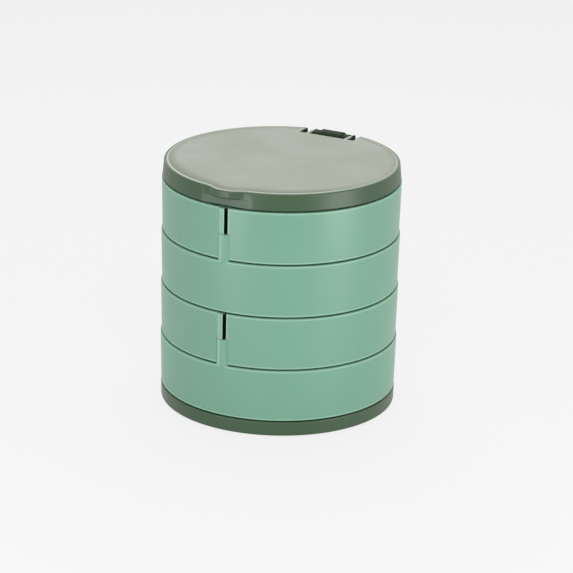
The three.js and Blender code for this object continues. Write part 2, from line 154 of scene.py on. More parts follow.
class Bench:
    """Modelling moves that the sub-assemblies share, made with Blender's own operators."""

    ROUND_SIDES = 224
    SMALL_SIDES = 64
    OVER = mm(1)
    DOUBLES = mm(0.0001)
    MERGE = mm(0.02)
    NEAR = mm(0.1)
    FLAT = math.radians(0.05)
    EDGE_ANGLE = math.radians(40)
    SHARP = math.radians(32)
    FACE_WEIGHT = 60

    @staticmethod
    def clear() -> None:
        """Leaves edit mode and deselects everything."""
        active = bpy.context.view_layer.objects.active
        if active is not None and active.mode != "OBJECT":
            bpy.ops.object.mode_set(mode="OBJECT")
        bpy.ops.object.select_all(action="DESELECT")

    @staticmethod
    def take(piece: Piece) -> None:
        """Makes one piece the only selected and the active one.

        Args:
            piece: The piece to work on.
        """
        Bench.clear()
        piece.select_set(True)
        bpy.context.view_layer.objects.active = piece

    @staticmethod
    def settle(name: str) -> Piece:
        """Names the new primitive and puts its place into its mesh.

        Args:
            name: The piece's name.

        Returns:
            The piece.
        """
        piece = bpy.context.object
        piece.name = name
        piece.data.name = name
        bpy.ops.object.transform_apply(location=True, rotation=True, scale=True)
        return piece

    @staticmethod
    def move(piece: Piece, place: Sequence[float], tilt: float = 0.0) -> Piece:
        """Moves a piece and puts its new place into its mesh.

        Args:
            piece: The piece to move.
            place: How far it moves.
            tilt: How far it is first turned about X, in radians.

        Returns:
            The same piece.
        """
        Bench.take(piece)
        piece.rotation_euler = (tilt, 0, 0)
        piece.location = place
        bpy.ops.object.transform_apply(location=True, rotation=True, scale=True)
        return piece

    @staticmethod
    def copy(piece: Piece, name: str, place: Sequence[float]) -> Piece:
        """A moved copy of a piece with a mesh of its own.

        Args:
            piece: The piece to copy.
            name: The copy's name.
            place: How far the copy is moved.

        Returns:
            The copy.
        """
        Bench.take(piece)
        bpy.ops.object.duplicate(linked=False)
        twin = bpy.context.object
        twin.name = name
        twin.data.name = name
        return Bench.move(twin, place)

    @staticmethod
    @contextmanager
    def editing(kind: Element | None = None) -> Iterator[None]:
        """Edit mode with everything selected, left again at the end.

        Args:
            kind: What is selected, or None for the kind that was selected last.

        Yields:
            Nothing, while the mesh is edited.
        """
        bpy.ops.object.mode_set(mode="EDIT")
        if kind is not None:
            bpy.ops.mesh.select_mode(type=kind.value)
        bpy.ops.mesh.select_all(action="SELECT")
        yield
        bpy.ops.object.mode_set(mode="OBJECT")

    @staticmethod
    def pick(kind: Element, test: Callable[[Vector], bool]) -> None:
        """Selects what passes a test in the mesh that is in edit mode.

        Args:
            kind: Corners or edges.
            test: Says whether a corner, or the middle of an edge, is wanted.
        """
        bpy.ops.mesh.select_mode(type=kind.value)
        bpy.ops.mesh.select_all(action="DESELECT")
        mesh = bmesh.from_edit_mesh(bpy.context.object.data)
        if kind is Element.CORNER:
            for corner in mesh.verts:
                corner.select_set(test(corner.co))
        else:
            for edge in mesh.edges:
                edge.select_set(test((edge.verts[0].co + edge.verts[1].co) / 2))
        mesh.select_flush_mode()
        bmesh.update_edit_mesh(bpy.context.object.data)

    @staticmethod
    def round_edges(test: Callable[[Vector], bool], width: float, steps: int) -> None:
        """Rounds the edges whose middle passes a test, in edit mode.

        Args:
            test: Says whether an edge's middle is wanted.
            width: How far the rounding reaches from each edge.
            steps: How many facets a rounded edge has.
        """
        Bench.pick(Element.EDGE, test)
        bpy.ops.mesh.bevel(offset=width, segments=steps, affect="EDGES")

    @staticmethod
    def face_outwards() -> None:
        """Merges doubles and turns every face outwards, in edit mode."""
        bpy.ops.mesh.select_all(action="SELECT")
        bpy.ops.mesh.remove_doubles(threshold=Bench.DOUBLES)
        bpy.ops.mesh.normals_make_consistent(inside=False)

    @staticmethod
    def turned(name: str, profile: Profile, sides: int = ROUND_SIDES, centre: Point = (0.0, 0.0),
               kind: Element = Element.FACE) -> Piece:
        """A shape turned about an upright axis, drawn up ring by ring from its first ring.

        Args:
            name: The piece's name.
            profile: Radius and height of each ring.
            sides: Corners of each ring.
            centre: Where the axis stands.
            kind: Faces, to close the first and last ring, or edges, for a profile that ends where it starts.

        Returns:
            The piece.
        """
        Bench.clear()
        radius, height = profile[0]
        bpy.ops.mesh.primitive_circle_add(
            vertices=sides, radius=radius, fill_type="NGON" if kind is Element.FACE else "NOTHING",
            location=(*centre, height),
        )
        piece = Bench.settle(name)
        with Bench.editing(kind):
            for (old_radius, old_height), (radius, height) in zip(profile, profile[1:]):
                rise = height - old_height
                bpy.ops.mesh.extrude_region_move(TRANSFORM_OT_translate={"value": (0, 0, rise)})
                share = radius / old_radius
                bpy.ops.transform.resize(value=(share, share, 1), center_override=(*centre, height))
            Bench.face_outwards()
        return piece

    @staticmethod
    def post(name: str, radius: float, low: float, high: float, centre: Point = (0.0, 0.0),
             round_top: float = 0.0, sides: int = SMALL_SIDES) -> Piece:
        """An upright round bar, its top edge rounded where that is asked for.

        Args:
            name: The piece's name.
            radius: Its radius.
            low: The height of its foot.
            high: The height of its top.
            centre: Where its axis stands.
            round_top: The rounding of its top edge.
            sides: Corners round it.

        Returns:
            The piece.
        """
        profile: list[Point] = [(radius, low)]
        if round_top:
            profile += arc((radius - round_top, high - round_top), round_top, 0, 90, 4)
        else:
            profile.append((radius, high))
        return Bench.turned(name, profile, sides, centre)

    @staticmethod
    def bar(name: str, radius: float, length: float, middle: Sequence[float], across: bool = True) -> Piece:
        """A round bar that lies level.

        Args:
            name: The piece's name.
            radius: Its radius.
            length: Its length.
            middle: Where its middle lies.
            across: Whether it runs along X, and not along Y.

        Returns:
            The piece.
        """
        Bench.clear()
        quarter = math.pi / 2
        bpy.ops.mesh.primitive_cylinder_add(
            vertices=Bench.SMALL_SIDES, radius=radius, depth=length, location=middle,
            rotation=(0, quarter, 0) if across else (quarter, 0, 0),
        )
        return Bench.settle(name)

    @staticmethod
    def block(name: str, low: Sequence[float], high: Sequence[float]) -> Piece:
        """A block between two corners.

        Args:
            name: The piece's name.
            low: Its lowest corner.
            high: Its highest corner.

        Returns:
            The piece.
        """
        Bench.clear()
        middle = [(a + b) / 2 for a, b in zip(low, high)]
        bpy.ops.mesh.primitive_cube_add(size=1, location=middle, scale=[b - a for a, b in zip(low, high)])
        return Bench.settle(name)

    @staticmethod
    def meet(piece: Piece, tool: Piece, how: Joining) -> Piece:
        """Joins, cuts or clips a piece with another, which is used up.

        Args:
            piece: The piece that is kept.
            tool: The solid that it meets.
            how: What happens where they meet.

        Returns:
            The kept piece.
        """
        Bench.take(piece)
        bpy.ops.object.modifier_add(type="BOOLEAN")
        modifier = piece.modifiers[-1]
        modifier.operation = how.value
        modifier.solver = "EXACT"
        modifier.object = tool
        bpy.ops.object.modifier_apply(modifier=modifier.name)
        bpy.data.objects.remove(tool, do_unlink=True)
        return piece

    @staticmethod
    def flatten(piece: Piece) -> None:
        """Merges double corners and joins neighbours that lie in one plane.

        Args:
            piece: The piece to clean.
        """
        Bench.take(piece)
        with Bench.editing():
            bpy.ops.mesh.remove_doubles(threshold=Bench.MERGE)
            bpy.ops.mesh.dissolve_limited(angle_limit=Bench.FLAT)

    @staticmethod
    def soften(piece: Piece, width: float, steps: int = 2) -> None:
        """Rounds the sharp edges that cuts and joints leave, and shades the piece smooth.

        Args:
            piece: The piece to finish.
            width: How far the rounding reaches from each edge, or 0 for none.
            steps: How many facets a rounded edge has.
        """
        Bench.take(piece)
        with Bench.editing():
            bpy.ops.mesh.remove_doubles(threshold=Bench.MERGE)
            bpy.ops.mesh.dissolve_degenerate(threshold=Bench.MERGE)
        if width:
            bpy.ops.object.modifier_add(type="BEVEL")
            bevel = piece.modifiers[-1]
            bevel.width = width
            bevel.segments = steps
            bevel.limit_method = "ANGLE"
            bevel.angle_limit = Bench.EDGE_ANGLE
            bevel.use_clamp_overlap = False
            bpy.ops.object.modifier_apply(modifier=bevel.name)
        Bench.smooth(piece)

    @staticmethod
    def smooth(piece: Piece) -> None:
        """Shades a piece smooth, with normals led by its large faces.

        Args:
            piece: The piece to shade.
        """
        Bench.take(piece)
        bpy.ops.object.shade_smooth_by_angle(angle=Bench.SHARP, keep_sharp_edges=True)
        bpy.ops.object.modifier_add(type="WEIGHTED_NORMAL")
        weighted = piece.modifiers[-1]
        weighted.keep_sharp = True
        weighted.weight = Bench.FACE_WEIGHT
        bpy.ops.object.modifier_apply(modifier=weighted.name)


class NodeBoard:
    """A node tree under construction."""

    SPACING = 180

    def __init__(self, tree: bpy.types.NodeTree) -> None:
        """Starts on an empty tree.

        Args:
            tree: The tree that gets the nodes.
        """
        self.tree = tree
        self.count = 0

    @classmethod
    def fresh(cls, owner: bpy.types.Material | bpy.types.World) -> "NodeBoard":
        """Starts on a material or world, once the nodes it came with are cleared away.

        Args:
            owner: The material or world.

        Returns:
            The board.
        """
        owner.use_nodes = True
        owner.node_tree.nodes.clear()
        return cls(owner.node_tree)

    def node(self, kind: str, **values: object) -> Node:
        """Adds a node and sets its properties.

        Args:
            kind: The node's type.
            **values: Properties of the node.

        Returns:
            The node.
        """
        made = self.tree.nodes.new(kind)
        made.location = (self.SPACING * self.count, 0)
        self.count += 1
        for name, value in values.items():
            setattr(made, name, value)
        return made

    def wire(self, start: Socket, end: Socket) -> None:
        """Links two sockets."""
        self.tree.links.new(start, end)

    def feed(self, value: Value | Sequence[float], end: Socket) -> None:
        """Gives a socket a value, or links it to another socket.

        Args:
            value: The value or the other socket.
            end: The socket that takes it.
        """
        if isinstance(value, Socket):
            self.wire(value, end)
        else:
            end.default_value = value

    def close(self, kind: str, shader: Socket) -> None:
        """Adds the output node of a material or world and links its surface."""
        self.wire(shader, self.node(kind).inputs["Surface"])

    def sum_of(self, operation: str, *values: Value) -> Socket:
        """One sum, product or the like.

        Args:
            operation: The Math node's operation.
            *values: Numbers or sockets, in the node's order.

        Returns:
            The socket with the result.
        """
        made = self.node("ShaderNodeMath", operation=operation)
        for value, end in zip(values, made.inputs):
            self.feed(value, end)
        return made.outputs[0]

    def step(self, value: Value, low: Value, high: Value) -> Socket:
        """A smooth step from 0 at one end of a range to 1 at the other.

        Args:
            value: What is tested.
            low: Where the step is 0.
            high: Where the step is 1; below the other end, the step falls as the value grows.

        Returns:
            The socket with the step.
        """
        made = self.node("ShaderNodeMapRange", interpolation_type="SMOOTHSTEP")
        for name, given in (("Value", value), ("From Min", low), ("From Max", high)):
            self.feed(given, made.inputs[name])
        return made.outputs["Result"]

    def ramp(self, value: Value, band: Point, base: float = 0.0) -> Socket:
        """A smooth step over a band that is measured from a level."""
        return self.step(value, base + band[0], base + band[1])

    def all_of(self, *masks: Socket) -> Socket:
        """Masks multiplied together.

        Args:
            *masks: The masks.

        Returns:
            The socket with the product.
        """
        result = masks[0]
        for mask in masks[1:]:
            result = self.sum_of("MULTIPLY", result, mask)
        return result

    def any_of(self, *masks: Socket) -> Socket:
        """The greatest of several masks.

        Args:
            *masks: The masks.

        Returns:
            The socket with the greatest.
        """
        result = masks[0]
        for mask in masks[1:]:
            result = self.sum_of("MAXIMUM", result, mask)
        return result

    def here(self) -> Socket:
        """The place on the object."""
        return self.node("ShaderNodeTexCoord").outputs["Object"]

    def place(self) -> tuple[Socket, Socket, Socket]:
        """The place on the object.

        Returns:
            The sockets of X, Y and Z.
        """
        parts = self.node("ShaderNodeSeparateXYZ")
        self.wire(self.here(), parts.inputs[0])
        return parts.outputs[0], parts.outputs[1], parts.outputs[2]

    def radius_at(self, x: Socket, y: Socket) -> Socket:
        """How far a place is from the stack's axis."""
        squares = self.sum_of("ADD", self.sum_of("MULTIPLY", x, x), self.sum_of("MULTIPLY", y, y))
        return self.sum_of("SQRT", squares)

    def noise(self, place: Socket, scale: Value, detail: float = 2.0) -> Socket:
        """Cloudy noise.

        Args:
            place: Where it is read.
            scale: How fine it is.
            detail: How many finer layers it has.

        Returns:
            The socket with the noise.
        """
        made = self.node("ShaderNodeTexNoise")
        for name, value in (("Vector", place), ("Scale", scale), ("Detail", detail)):
            self.feed(value, made.inputs[name])
        return made.outputs["Fac"]

    def blend(self, mask: Value, under: Socket, over: Colour | Socket) -> Socket:
        """A colour laid over another where a mask says.

        Args:
            mask: Where the upper colour shows.
            under: The lower colour.
            over: The upper colour.

        Returns:
            The socket with the mixed colour.
        """
        mix = self.node("ShaderNodeMix", data_type="RGBA")
        self.feed(mask, mix.inputs["Factor"])
        self.wire(under, mix.inputs[6])
        self.feed(over if isinstance(over, Socket) else (*over, 1.0), mix.inputs[7])
        return mix.outputs[2]


class SharedGroup:
    """A shader group that is built once and placed in every material that uses it."""

    NAME = ""
    INPUTS: Mapping[str, str] = {}
    OUTPUTS: Mapping[str, str] = {}

    def fill(self, board: NodeBoard, given: Node, out: Node) -> None:
        """Builds the nodes between the group's inputs and its outputs."""
        raise NotImplementedError

    def group(self) -> bpy.types.NodeTree:
        """The group, made once.

        Returns:
            The node tree with its named inputs and outputs.
        """
        made = bpy.data.node_groups.get(self.NAME)
        if made is None:
            made = bpy.data.node_groups.new(self.NAME, "ShaderNodeTree")
            for way, sockets in (("INPUT", self.INPUTS), ("OUTPUT", self.OUTPUTS)):
                for name, kind in sockets.items():
                    made.interface.new_socket(name, in_out=way, socket_type=f"NodeSocket{kind}")
            board = NodeBoard(made)
            self.fill(board, board.node("NodeGroupInput"), board.node("NodeGroupOutput"))
        return made

    def placed(self, board: NodeBoard, values: Mapping[str, float | Sequence[float]]) -> Node:
        """The group as a node of a material.

        Args:
            board: The material's node tree.
            values: The material's own values of the group's inputs.

        Returns:
            The node.
        """
        made = board.node("ShaderNodeGroup")
        made.node_tree = self.group()
        for name, value in values.items():
            made.inputs[name].default_value = value
        return made


class SurfaceGrain(SharedGroup):
    """The group of every moulded or coated surface: tone, roughness and relief that vary over it."""

    NAME = "surface_grain"
    INPUTS = {
        "Color": "Color", "Tone Color": "Color", "Tone Scale": "Float", "Grain Scale": "Float",
        "Grain Height": "Float", "Relief Height": "Float", "Roughness": "Float", "Roughness Spread": "Float",
    }
    OUTPUTS = {"Color": "Color", "Roughness": "Float", "Normal": "Vector"}
    CLOUD_DETAIL = 3.0
    CLOUD_MEAN = 0.5

    def fill(self, board: NodeBoard, given: Node, out: Node) -> None:
        """Mixes the two colours by a cloud, varies the roughness by it, and bumps by cloud and grain.

        Args:
            board: The group's node tree.
            given: The node of its inputs.
            out: The node of its outputs.
        """
        place = board.here()
        cloud = board.noise(place, given.outputs["Tone Scale"], self.CLOUD_DETAIL)
        tone = board.blend(cloud, given.outputs["Color"], given.outputs["Tone Color"])
        board.wire(tone, out.inputs["Color"])
        roughness = board.sum_of(
            "MULTIPLY_ADD", board.sum_of("SUBTRACT", cloud, self.CLOUD_MEAN),
            given.outputs["Roughness Spread"], given.outputs["Roughness"],
        )
        board.wire(roughness, out.inputs["Roughness"])
        grain = board.noise(place, given.outputs["Grain Scale"])
        fine, broad = board.node("ShaderNodeBump"), board.node("ShaderNodeBump")
        for bump, height, reach in ((fine, grain, "Grain Height"), (broad, cloud, "Relief Height")):
            board.wire(height, bump.inputs["Height"])
            board.wire(given.outputs[reach], bump.inputs["Distance"])
        board.wire(broad.outputs["Normal"], fine.inputs["Normal"])
        board.wire(fine.outputs["Normal"], out.inputs["Normal"])


class TrayPaintedLight(SharedGroup):
    """The group that finds where a tray gets painted highlight (its rims, the ridge of its knuckle, the
    sides of the slit in its barrel) and painted shade (inside the slit).
    """

    NAME = "tray_edges"
    INPUTS = {"Low": "Float", "Top": "Float", "Radius": "Float", "Turn": "Float"}
    OUTPUTS = {"Edges": "Float", "Slit": "Float"}
    RIM_END = (mm(1.2), mm(0.85))
    RIM_START = (mm(0.3), mm(0.5))
    WALL_OUTSIDE = (mm(0.25), mm(0.1))
    WALL_INSIDE = (mm(-2.4), mm(-2.1))
    RIDGE_SIDE = (mm(-0.1), mm(-0.5))
    RIDGE_PROUD = (mm(0.05), mm(0.15))
    UPPER_HALF = (mm(0.1), mm(0.3))
    BARREL_END = (mm(-10), mm(-12))
    SLIT_MIDDLE = mm(1.65)
    SLIT_RIM = (mm(1.5), mm(1.2))
    SLIT_RIM_DEPTH = (mm(-0.35), mm(-0.25))
    SLIT_HOLLOW = (mm(0.78), mm(0.7))
    SLIT_DEPTH = (mm(-3.6), mm(-3.4))

    def fill(self, board: NodeBoard, given: Node, out: Node) -> None:
        """Finds where the painted highlight and the painted slit shade go, by height, by distance from the
        wall and by side.

        Args:
            board: The group's node tree.
            given: The node of the tray's heights, radius and turn.
            out: The node of the masks for painted highlight and painted slit shade.
        """
        low, top, radius, turn = given.outputs[:4]
        x, y, z = board.place()
        from_top = board.sum_of("SUBTRACT", top, z)
        from_low = board.sum_of("SUBTRACT", z, low)
        past_wall = board.sum_of("SUBTRACT", board.radius_at(x, y), radius)
        from_edge = board.sum_of("MINIMUM", from_top, from_low)
        # Painted highlight: a paler band along the rounded top and bottom rims, outside the wall.
        rims = board.all_of(
            board.ramp(from_edge, self.RIM_END), board.ramp(from_edge, self.RIM_START),
            board.ramp(past_wall, self.WALL_OUTSIDE), board.ramp(past_wall, self.WALL_INSIDE),
        )
        front = board.sum_of("MULTIPLY", board.sum_of("SIGN", y), -1.0)
        across = board.sum_of("MULTIPLY", x, front)
        # Painted highlight along the left side of the knuckle's ridge.
        ridge = board.all_of(board.ramp(across, self.RIDGE_SIDE), board.ramp(past_wall, self.RIDGE_PROUD))
        off_slit = board.sum_of("ABSOLUTE", board.sum_of("SUBTRACT", across, self.SLIT_MIDDLE))
        barrel = board.all_of(
            board.ramp(board.sum_of("SUBTRACT", from_low, from_top), self.UPPER_HALF),
            board.ramp(board.sum_of("MULTIPLY", y, turn), self.BARREL_END),
        )
        # sides is painted highlight along the slit's edges; the second mask is painted shade deep inside the
        # slit.
        sides, slit_shade = (
            board.all_of(barrel, board.ramp(off_slit, width), board.ramp(past_wall, depth))
            for width, depth in ((self.SLIT_RIM, self.SLIT_RIM_DEPTH), (self.SLIT_HOLLOW, self.SLIT_DEPTH))
        )
        board.wire(board.any_of(rims, ridge, sides), out.inputs["Edges"])
        board.wire(slit_shade, out.inputs["Slit"])


@dataclass(frozen=True)
class Finish:
    """A procedural finish: a base shader whose colour, roughness and relief vary over the surface."""

    name: str
    slot: Slot
    colour: Colour
    tone: Colour
    roughness: float
    roughness_spread: float = 0.08
    tone_scale: float = 45.0
    grain_scale: float = 2600.0
    grain_height: float = mm(0.006)
    relief_height: float = mm(0.05)
    metallic: float = 0.0
    specular: float = 0.5
    sheen: float = 0.0

    def material(self) -> bpy.types.Material:
        """The material, made once.

        Returns:
            The material with its node tree.
        """
        made = bpy.data.materials.get(self.name)
        if made is not None:
            return made
        made = bpy.data.materials.new(self.name)
        board = NodeBoard.fresh(made)
        grain = SurfaceGrain().placed(board, {
            "Color": (*self.colour, 1.0), "Tone Color": (*self.tone, 1.0), "Tone Scale": self.tone_scale,
            "Grain Scale": self.grain_scale, "Grain Height": self.grain_height,
            "Relief Height": self.relief_height, "Roughness": self.roughness,
            "Roughness Spread": self.roughness_spread,
        })
        shader = board.node("ShaderNodeBsdfPrincipled")
        shader.inputs["Metallic"].default_value = self.metallic
        shader.inputs["Specular IOR Level"].default_value = self.specular
        shader.inputs["Sheen Weight"].default_value = self.sheen
        colour, roughness = self.sources(board, grain)
        board.wire(colour, shader.inputs["Base Color"])
        board.wire(roughness, shader.inputs["Roughness"])
        board.wire(grain.outputs["Normal"], shader.inputs["Normal"])
        board.close("ShaderNodeOutputMaterial", shader.outputs["BSDF"])
        return made

    def sources(self, board: NodeBoard, grain: Node) -> tuple[Socket, Socket]:
        """The sockets that give the base colour and the roughness."""
        return self.colour_source(board, grain), grain.outputs["Roughness"]

    def colour_source(self, board: NodeBoard, grain: Node) -> Socket:
        """The socket that gives the base colour."""
        return grain.outputs["Color"]


@dataclass(frozen=True)
class SpeckledFinish(Finish):
    """A finish with fine pale and dark flecks, as on a matte textured panel."""

    fleck: Colour = (0.5, 0.5, 0.5)
    fleck_scale: float = 1500.0
    fleck_detail: float = 4.0
    fleck_start: float = 0.5
    fleck_full: float = 0.75
    fleck_share: float = 0.35

    def colour_source(self, board: NodeBoard, grain: Node) -> Socket:
        """The group's colour with flecks laid over it.

        Args:
            board: The material's node tree.
            grain: The shared group in it.

        Returns:
            The mixed colour's socket.
        """
        spots = board.noise(board.here(), self.fleck_scale, self.fleck_detail)
        edge = board.node("ShaderNodeMapRange")
        edge.inputs["From Min"].default_value = self.fleck_start
        edge.inputs["From Max"].default_value = self.fleck_full
        edge.inputs["To Max"].default_value = self.fleck_share
        board.wire(spots, edge.inputs["Value"])
        return board.blend(edge.outputs["Result"], grain.outputs["Color"], self.fleck)


@dataclass(frozen=True)
class BrushedFinish(Finish):
    """Steel with fine lines drawn along one direction."""

    line_stretch: tuple[float, float, float] = (1.0, 1.0, 0.04)
    line_shade: float = 0.7

    def colour_source(self, board: NodeBoard, grain: Node) -> Socket:
        """The group's colour broken up by fine drawn lines.

        Args:
            board: The material's node tree.
            grain: The shared group in it.

        Returns:
            The mixed colour's socket.
        """
        stretch = board.node("ShaderNodeMapping")
        stretch.inputs["Scale"].default_value = self.line_stretch
        board.wire(board.here(), stretch.inputs["Vector"])
        lines = board.noise(stretch.outputs["Vector"], self.grain_scale)
        shade = tuple(channel * self.line_shade for channel in self.colour)
        return board.blend(lines, grain.outputs["Color"], shade)


@dataclass(frozen=True)
class TrayFinish(Finish):
    """The trays' finish, with painted highlight along their rims, knuckles and slit sides, and painted shade
    inside the slits.
    """

    # edge: the painted highlight colour of rims, knuckle ridge and slit sides.
    edge: Colour = (0.5, 0.5, 0.5)
    # slit: the painted shade colour inside the slit.
    slit: Colour = (0.1, 0.1, 0.1)
    low: float = 0.0
    top: float = 0.0
    radius: float = 0.0
    turn: int = 0

    def colour_source(self, board: NodeBoard, grain: Node) -> Socket:
        """The group's colour with the painted highlight along the edges and the painted shade in the slit
        laid over it.

        Args:
            board: The material's node tree.
            grain: The shared group in it.

        Returns:
            The mixed colour's socket.
        """
        edges = TrayPaintedLight().placed(
            board, {"Low": self.low, "Top": self.top, "Radius": self.radius, "Turn": self.turn}
        )
        # Painted highlight: the edge colour laid over the rims, knuckle ridge and slit sides.
        paler = board.blend(edges.outputs["Edges"], grain.outputs["Color"], self.edge)
        # Painted shade: the dark slit colour laid inside the slit.
        return board.blend(edges.outputs["Slit"], paler, self.slit)


@dataclass(frozen=True)
class LidFinish(Finish):
    """The lid band's finish: a painted highlight along the top rim, and painted shade in the notch and under
    the lip.
    """

    # rim: the painted highlight colour of the band's top rim.
    rim: Colour = (0.5, 0.5, 0.5)
    # The painted shade colour of the notch and the lip's underside.
    raw: Colour = (0.1, 0.1, 0.1)
    top: float = 0.0
    notch_half: float = 0.0
    notch_inner: float = 0.0
    lip_foot: float = 0.0
    band_radius: float = 0.0
    rim_band: Point = (mm(-0.12), mm(-0.04))
    notch_side: Point = (mm(0.2), mm(0.1))
    notch_back: Point = (mm(-0.2), mm(-0.1))
    notch_top: Point = (mm(-0.1), mm(-0.3))
    lip_side: Point = (mm(0.1), mm(0.3))
    lip_front: Point = (0.0, mm(-10))
    lip_under: Point = (mm(0.9), mm(0.4))
    lip_share: float = 0.7

    def sources(self, board: NodeBoard, grain: Node) -> tuple[Socket, Socket]:
        """The group's colour and roughness with the painted highlight of the rim, and the painted shade of
        the notch and the lip's underside, laid over them.

        Args:
            board: The material's node tree.
            grain: The shared group in it.

        Returns:
            The sockets of the colour and the roughness.
        """
        x, y, z = board.place()
        # Painted highlight along the band's top rim.
        rim = board.ramp(z, self.rim_band, self.top)
        # Painted shade in the notch at the back.
        notch = board.all_of(
            board.ramp(board.sum_of("ABSOLUTE", x), self.notch_side, self.notch_half),
            board.ramp(y, self.notch_back, self.notch_inner), board.ramp(z, self.notch_top, self.top),
        )
        # Painted shade under the finger lip.
        lip = board.all_of(
            board.ramp(board.radius_at(x, y), self.lip_side, self.band_radius),
            board.ramp(y, self.lip_front), board.ramp(z, self.lip_under, self.lip_foot),
        )
        # dark: where the painted shade goes, full in the notch and partial under the lip.
        dark = board.any_of(notch, board.sum_of("MULTIPLY", lip, self.lip_share))
        colour = board.blend(dark, board.blend(rim, grain.outputs["Color"], self.rim), self.raw)
        return colour, board.any_of(grain.outputs["Roughness"], notch)


@dataclass(frozen=True)
class PanelFinish(SpeckledFinish):
    """The top panel's finish: painted shade along its outer edge, a painted highlight on the raised bead and
    a soft painted shade border, widest and strongest at the front.
    """

    # edge: the painted shade colour of the panel's outermost edge.
    edge: Colour = (0.5, 0.5, 0.5)
    # bead: the painted highlight colour of the raised bead.
    bead: Colour = (0.5, 0.5, 0.5)
    # border: the painted shade colour of the soft border.
    border: Colour = (0.1, 0.1, 0.1)
    top: float = 0.0
    bead_radius: float = 0.0
    bead_width: float = 0.0
    painted_shade_width: float = 0.0
    painted_shade_start: float = mm(0.4)
    edge_blend: float = mm(0.15)
    raised_band: Point = (mm(-0.03), mm(-0.01))
    front_band: Point = (mm(-5), mm(-45))
    front_share: float = 0.65
    side_share: float = 0.35
    lip_front: Point = (0.0, mm(-10))
    lip_proud: float = 0.0
    lip_half: float = 0.0
    lip_flat: float = 0.0

    def colour_source(self, board: NodeBoard, grain: Node) -> Socket:
        """The speckled colour with the painted shade border, the painted highlight of the bead and the
        painted shade of the outer edge laid over it, all following the finger lip.

        Args:
            board: The material's node tree.
            grain: The shared group in it.

        Returns:
            The mixed colour's socket.
        """
        x, y, z = board.place()
        bulge = board.all_of(
            board.step(board.sum_of("ABSOLUTE", x), self.lip_half, self.lip_flat),
            board.ramp(y, self.lip_front),
        )
        outline = board.sum_of("ADD", board.sum_of("MULTIPLY", bulge, self.lip_proud), self.bead_radius)
        inside = board.sum_of("SUBTRACT", outline, board.radius_at(x, y))
        front = board.ramp(y, self.front_band)
        reach = board.sum_of("MULTIPLY_ADD", front, self.front_share, self.side_share)
        painted_shade_end = board.sum_of("MULTIPLY", reach, self.painted_shade_width)
        # Painted shade: a soft darker border inside the bead, wider and stronger at the front.
        border = board.all_of(board.step(inside, painted_shade_end, self.painted_shade_start), reach)
        darker = board.blend(border, super().colour_source(board, grain), self.border)
        # Painted highlight on the raised bead, strongest at the front.
        raised = board.all_of(board.ramp(z, self.raised_band, self.top), reach)
        bead = board.blend(raised, darker, self.bead)
        # Painted shade along the panel's outermost edge.
        painted_edge_shade = board.step(inside, -self.bead_width, -self.bead_width - self.edge_blend)
        return board.blend(painted_edge_shade, bead, self.edge)


@dataclass(frozen=True)
class Finishes:
    """Every finish on the box."""

    # Mint trays: edge is a painted highlight colour for rims, knuckle ridge and slit sides, and slit is
    # painted shade inside the slits.
    mint: TrayFinish = TrayFinish(
        "mint_satin_plastic", Slot.MINT, from_bytes(117, 166, 142), from_bytes(122, 171, 147),
        roughness=0.36, edge=from_bytes(148, 193, 166), slit=from_bytes(10, 20, 12),
    )
    sage: Finish = Finish(
        "sage_satin_plastic", Slot.SAGE, from_bytes(58, 84, 57), from_bytes(63, 89, 62), roughness=0.4,
    )
    # Lid band: rim is a painted highlight colour for the top rim, and the second colour is painted shade for
    # the notch and under the lip.
    lid_sage: LidFinish = LidFinish(
        "lid_sage_satin_plastic", Slot.SAGE, from_bytes(58, 84, 57), from_bytes(63, 89, 62), roughness=0.4,
        rim=from_bytes(122, 134, 119), raw=from_bytes(12, 20, 12),
    )
    # Hinge bracket: the sage plastic darkened to near black as painted shade, with paler olive cloud patches
    # as painted highlights.
    dark_sage: Finish = Finish(
        "dark_sage_hinge_plastic", Slot.SAGE, from_bytes(8, 18, 8), from_bytes(48, 70, 40), roughness=0.5,
        tone_scale=220.0, specular=0.2,
    )
    # Top panel: bead is a painted highlight colour, and border and edge are painted shade colours.
    grey: PanelFinish = PanelFinish(
        "warm_grey_matte_plastic", Slot.GREY, from_bytes(154, 165, 141), from_bytes(198, 200, 194),
        roughness=0.6, tone_scale=32.0, grain_scale=1800.0, grain_height=mm(0.01), relief_height=mm(0.02),
        fleck=from_bytes(186, 188, 180), edge=from_bytes(132, 142, 129), bead=from_bytes(214, 226, 208),
        border=from_bytes(138, 145, 131),
    )
    rubber: Finish = Finish(
        "black_rubber", Slot.RUBBER, from_bytes(42, 44, 42), from_bytes(52, 54, 52), roughness=0.85,
        grain_scale=1400.0, grain_height=mm(0.03),
    )
    bright_steel: BrushedFinish = BrushedFinish(
        "plated_steel", Slot.BRIGHT_STEEL, from_bytes(200, 203, 205), from_bytes(188, 190, 194),
        roughness=0.28, metallic=1.0, grain_height=mm(0.002), relief_height=mm(0.01),
    )
    dark_steel: BrushedFinish = BrushedFinish(
        "blackened_steel", Slot.DARK_STEEL, from_bytes(40, 41, 42), from_bytes(31, 32, 34),
        roughness=0.45, metallic=1.0, grain_height=mm(0.002), relief_height=mm(0.01),
    )
    flock: SpeckledFinish = SpeckledFinish(
        "flocked_pad", Slot.FLOCK, from_bytes(88, 118, 99), from_bytes(78, 107, 90), roughness=0.95,
        sheen=0.6, grain_scale=3200.0, grain_height=mm(0.12), relief_height=mm(0.15),
        fleck=from_bytes(120, 150, 130), fleck_scale=3600.0,
    )
    mirror: Finish = Finish(
        "silvered_glass", Slot.MIRROR, from_bytes(232, 236, 238), from_bytes(228, 233, 236),
        roughness=0.035, roughness_spread=0.03, metallic=1.0, grain_height=0.0, relief_height=0.0,
        tone_scale=25.0,
    )


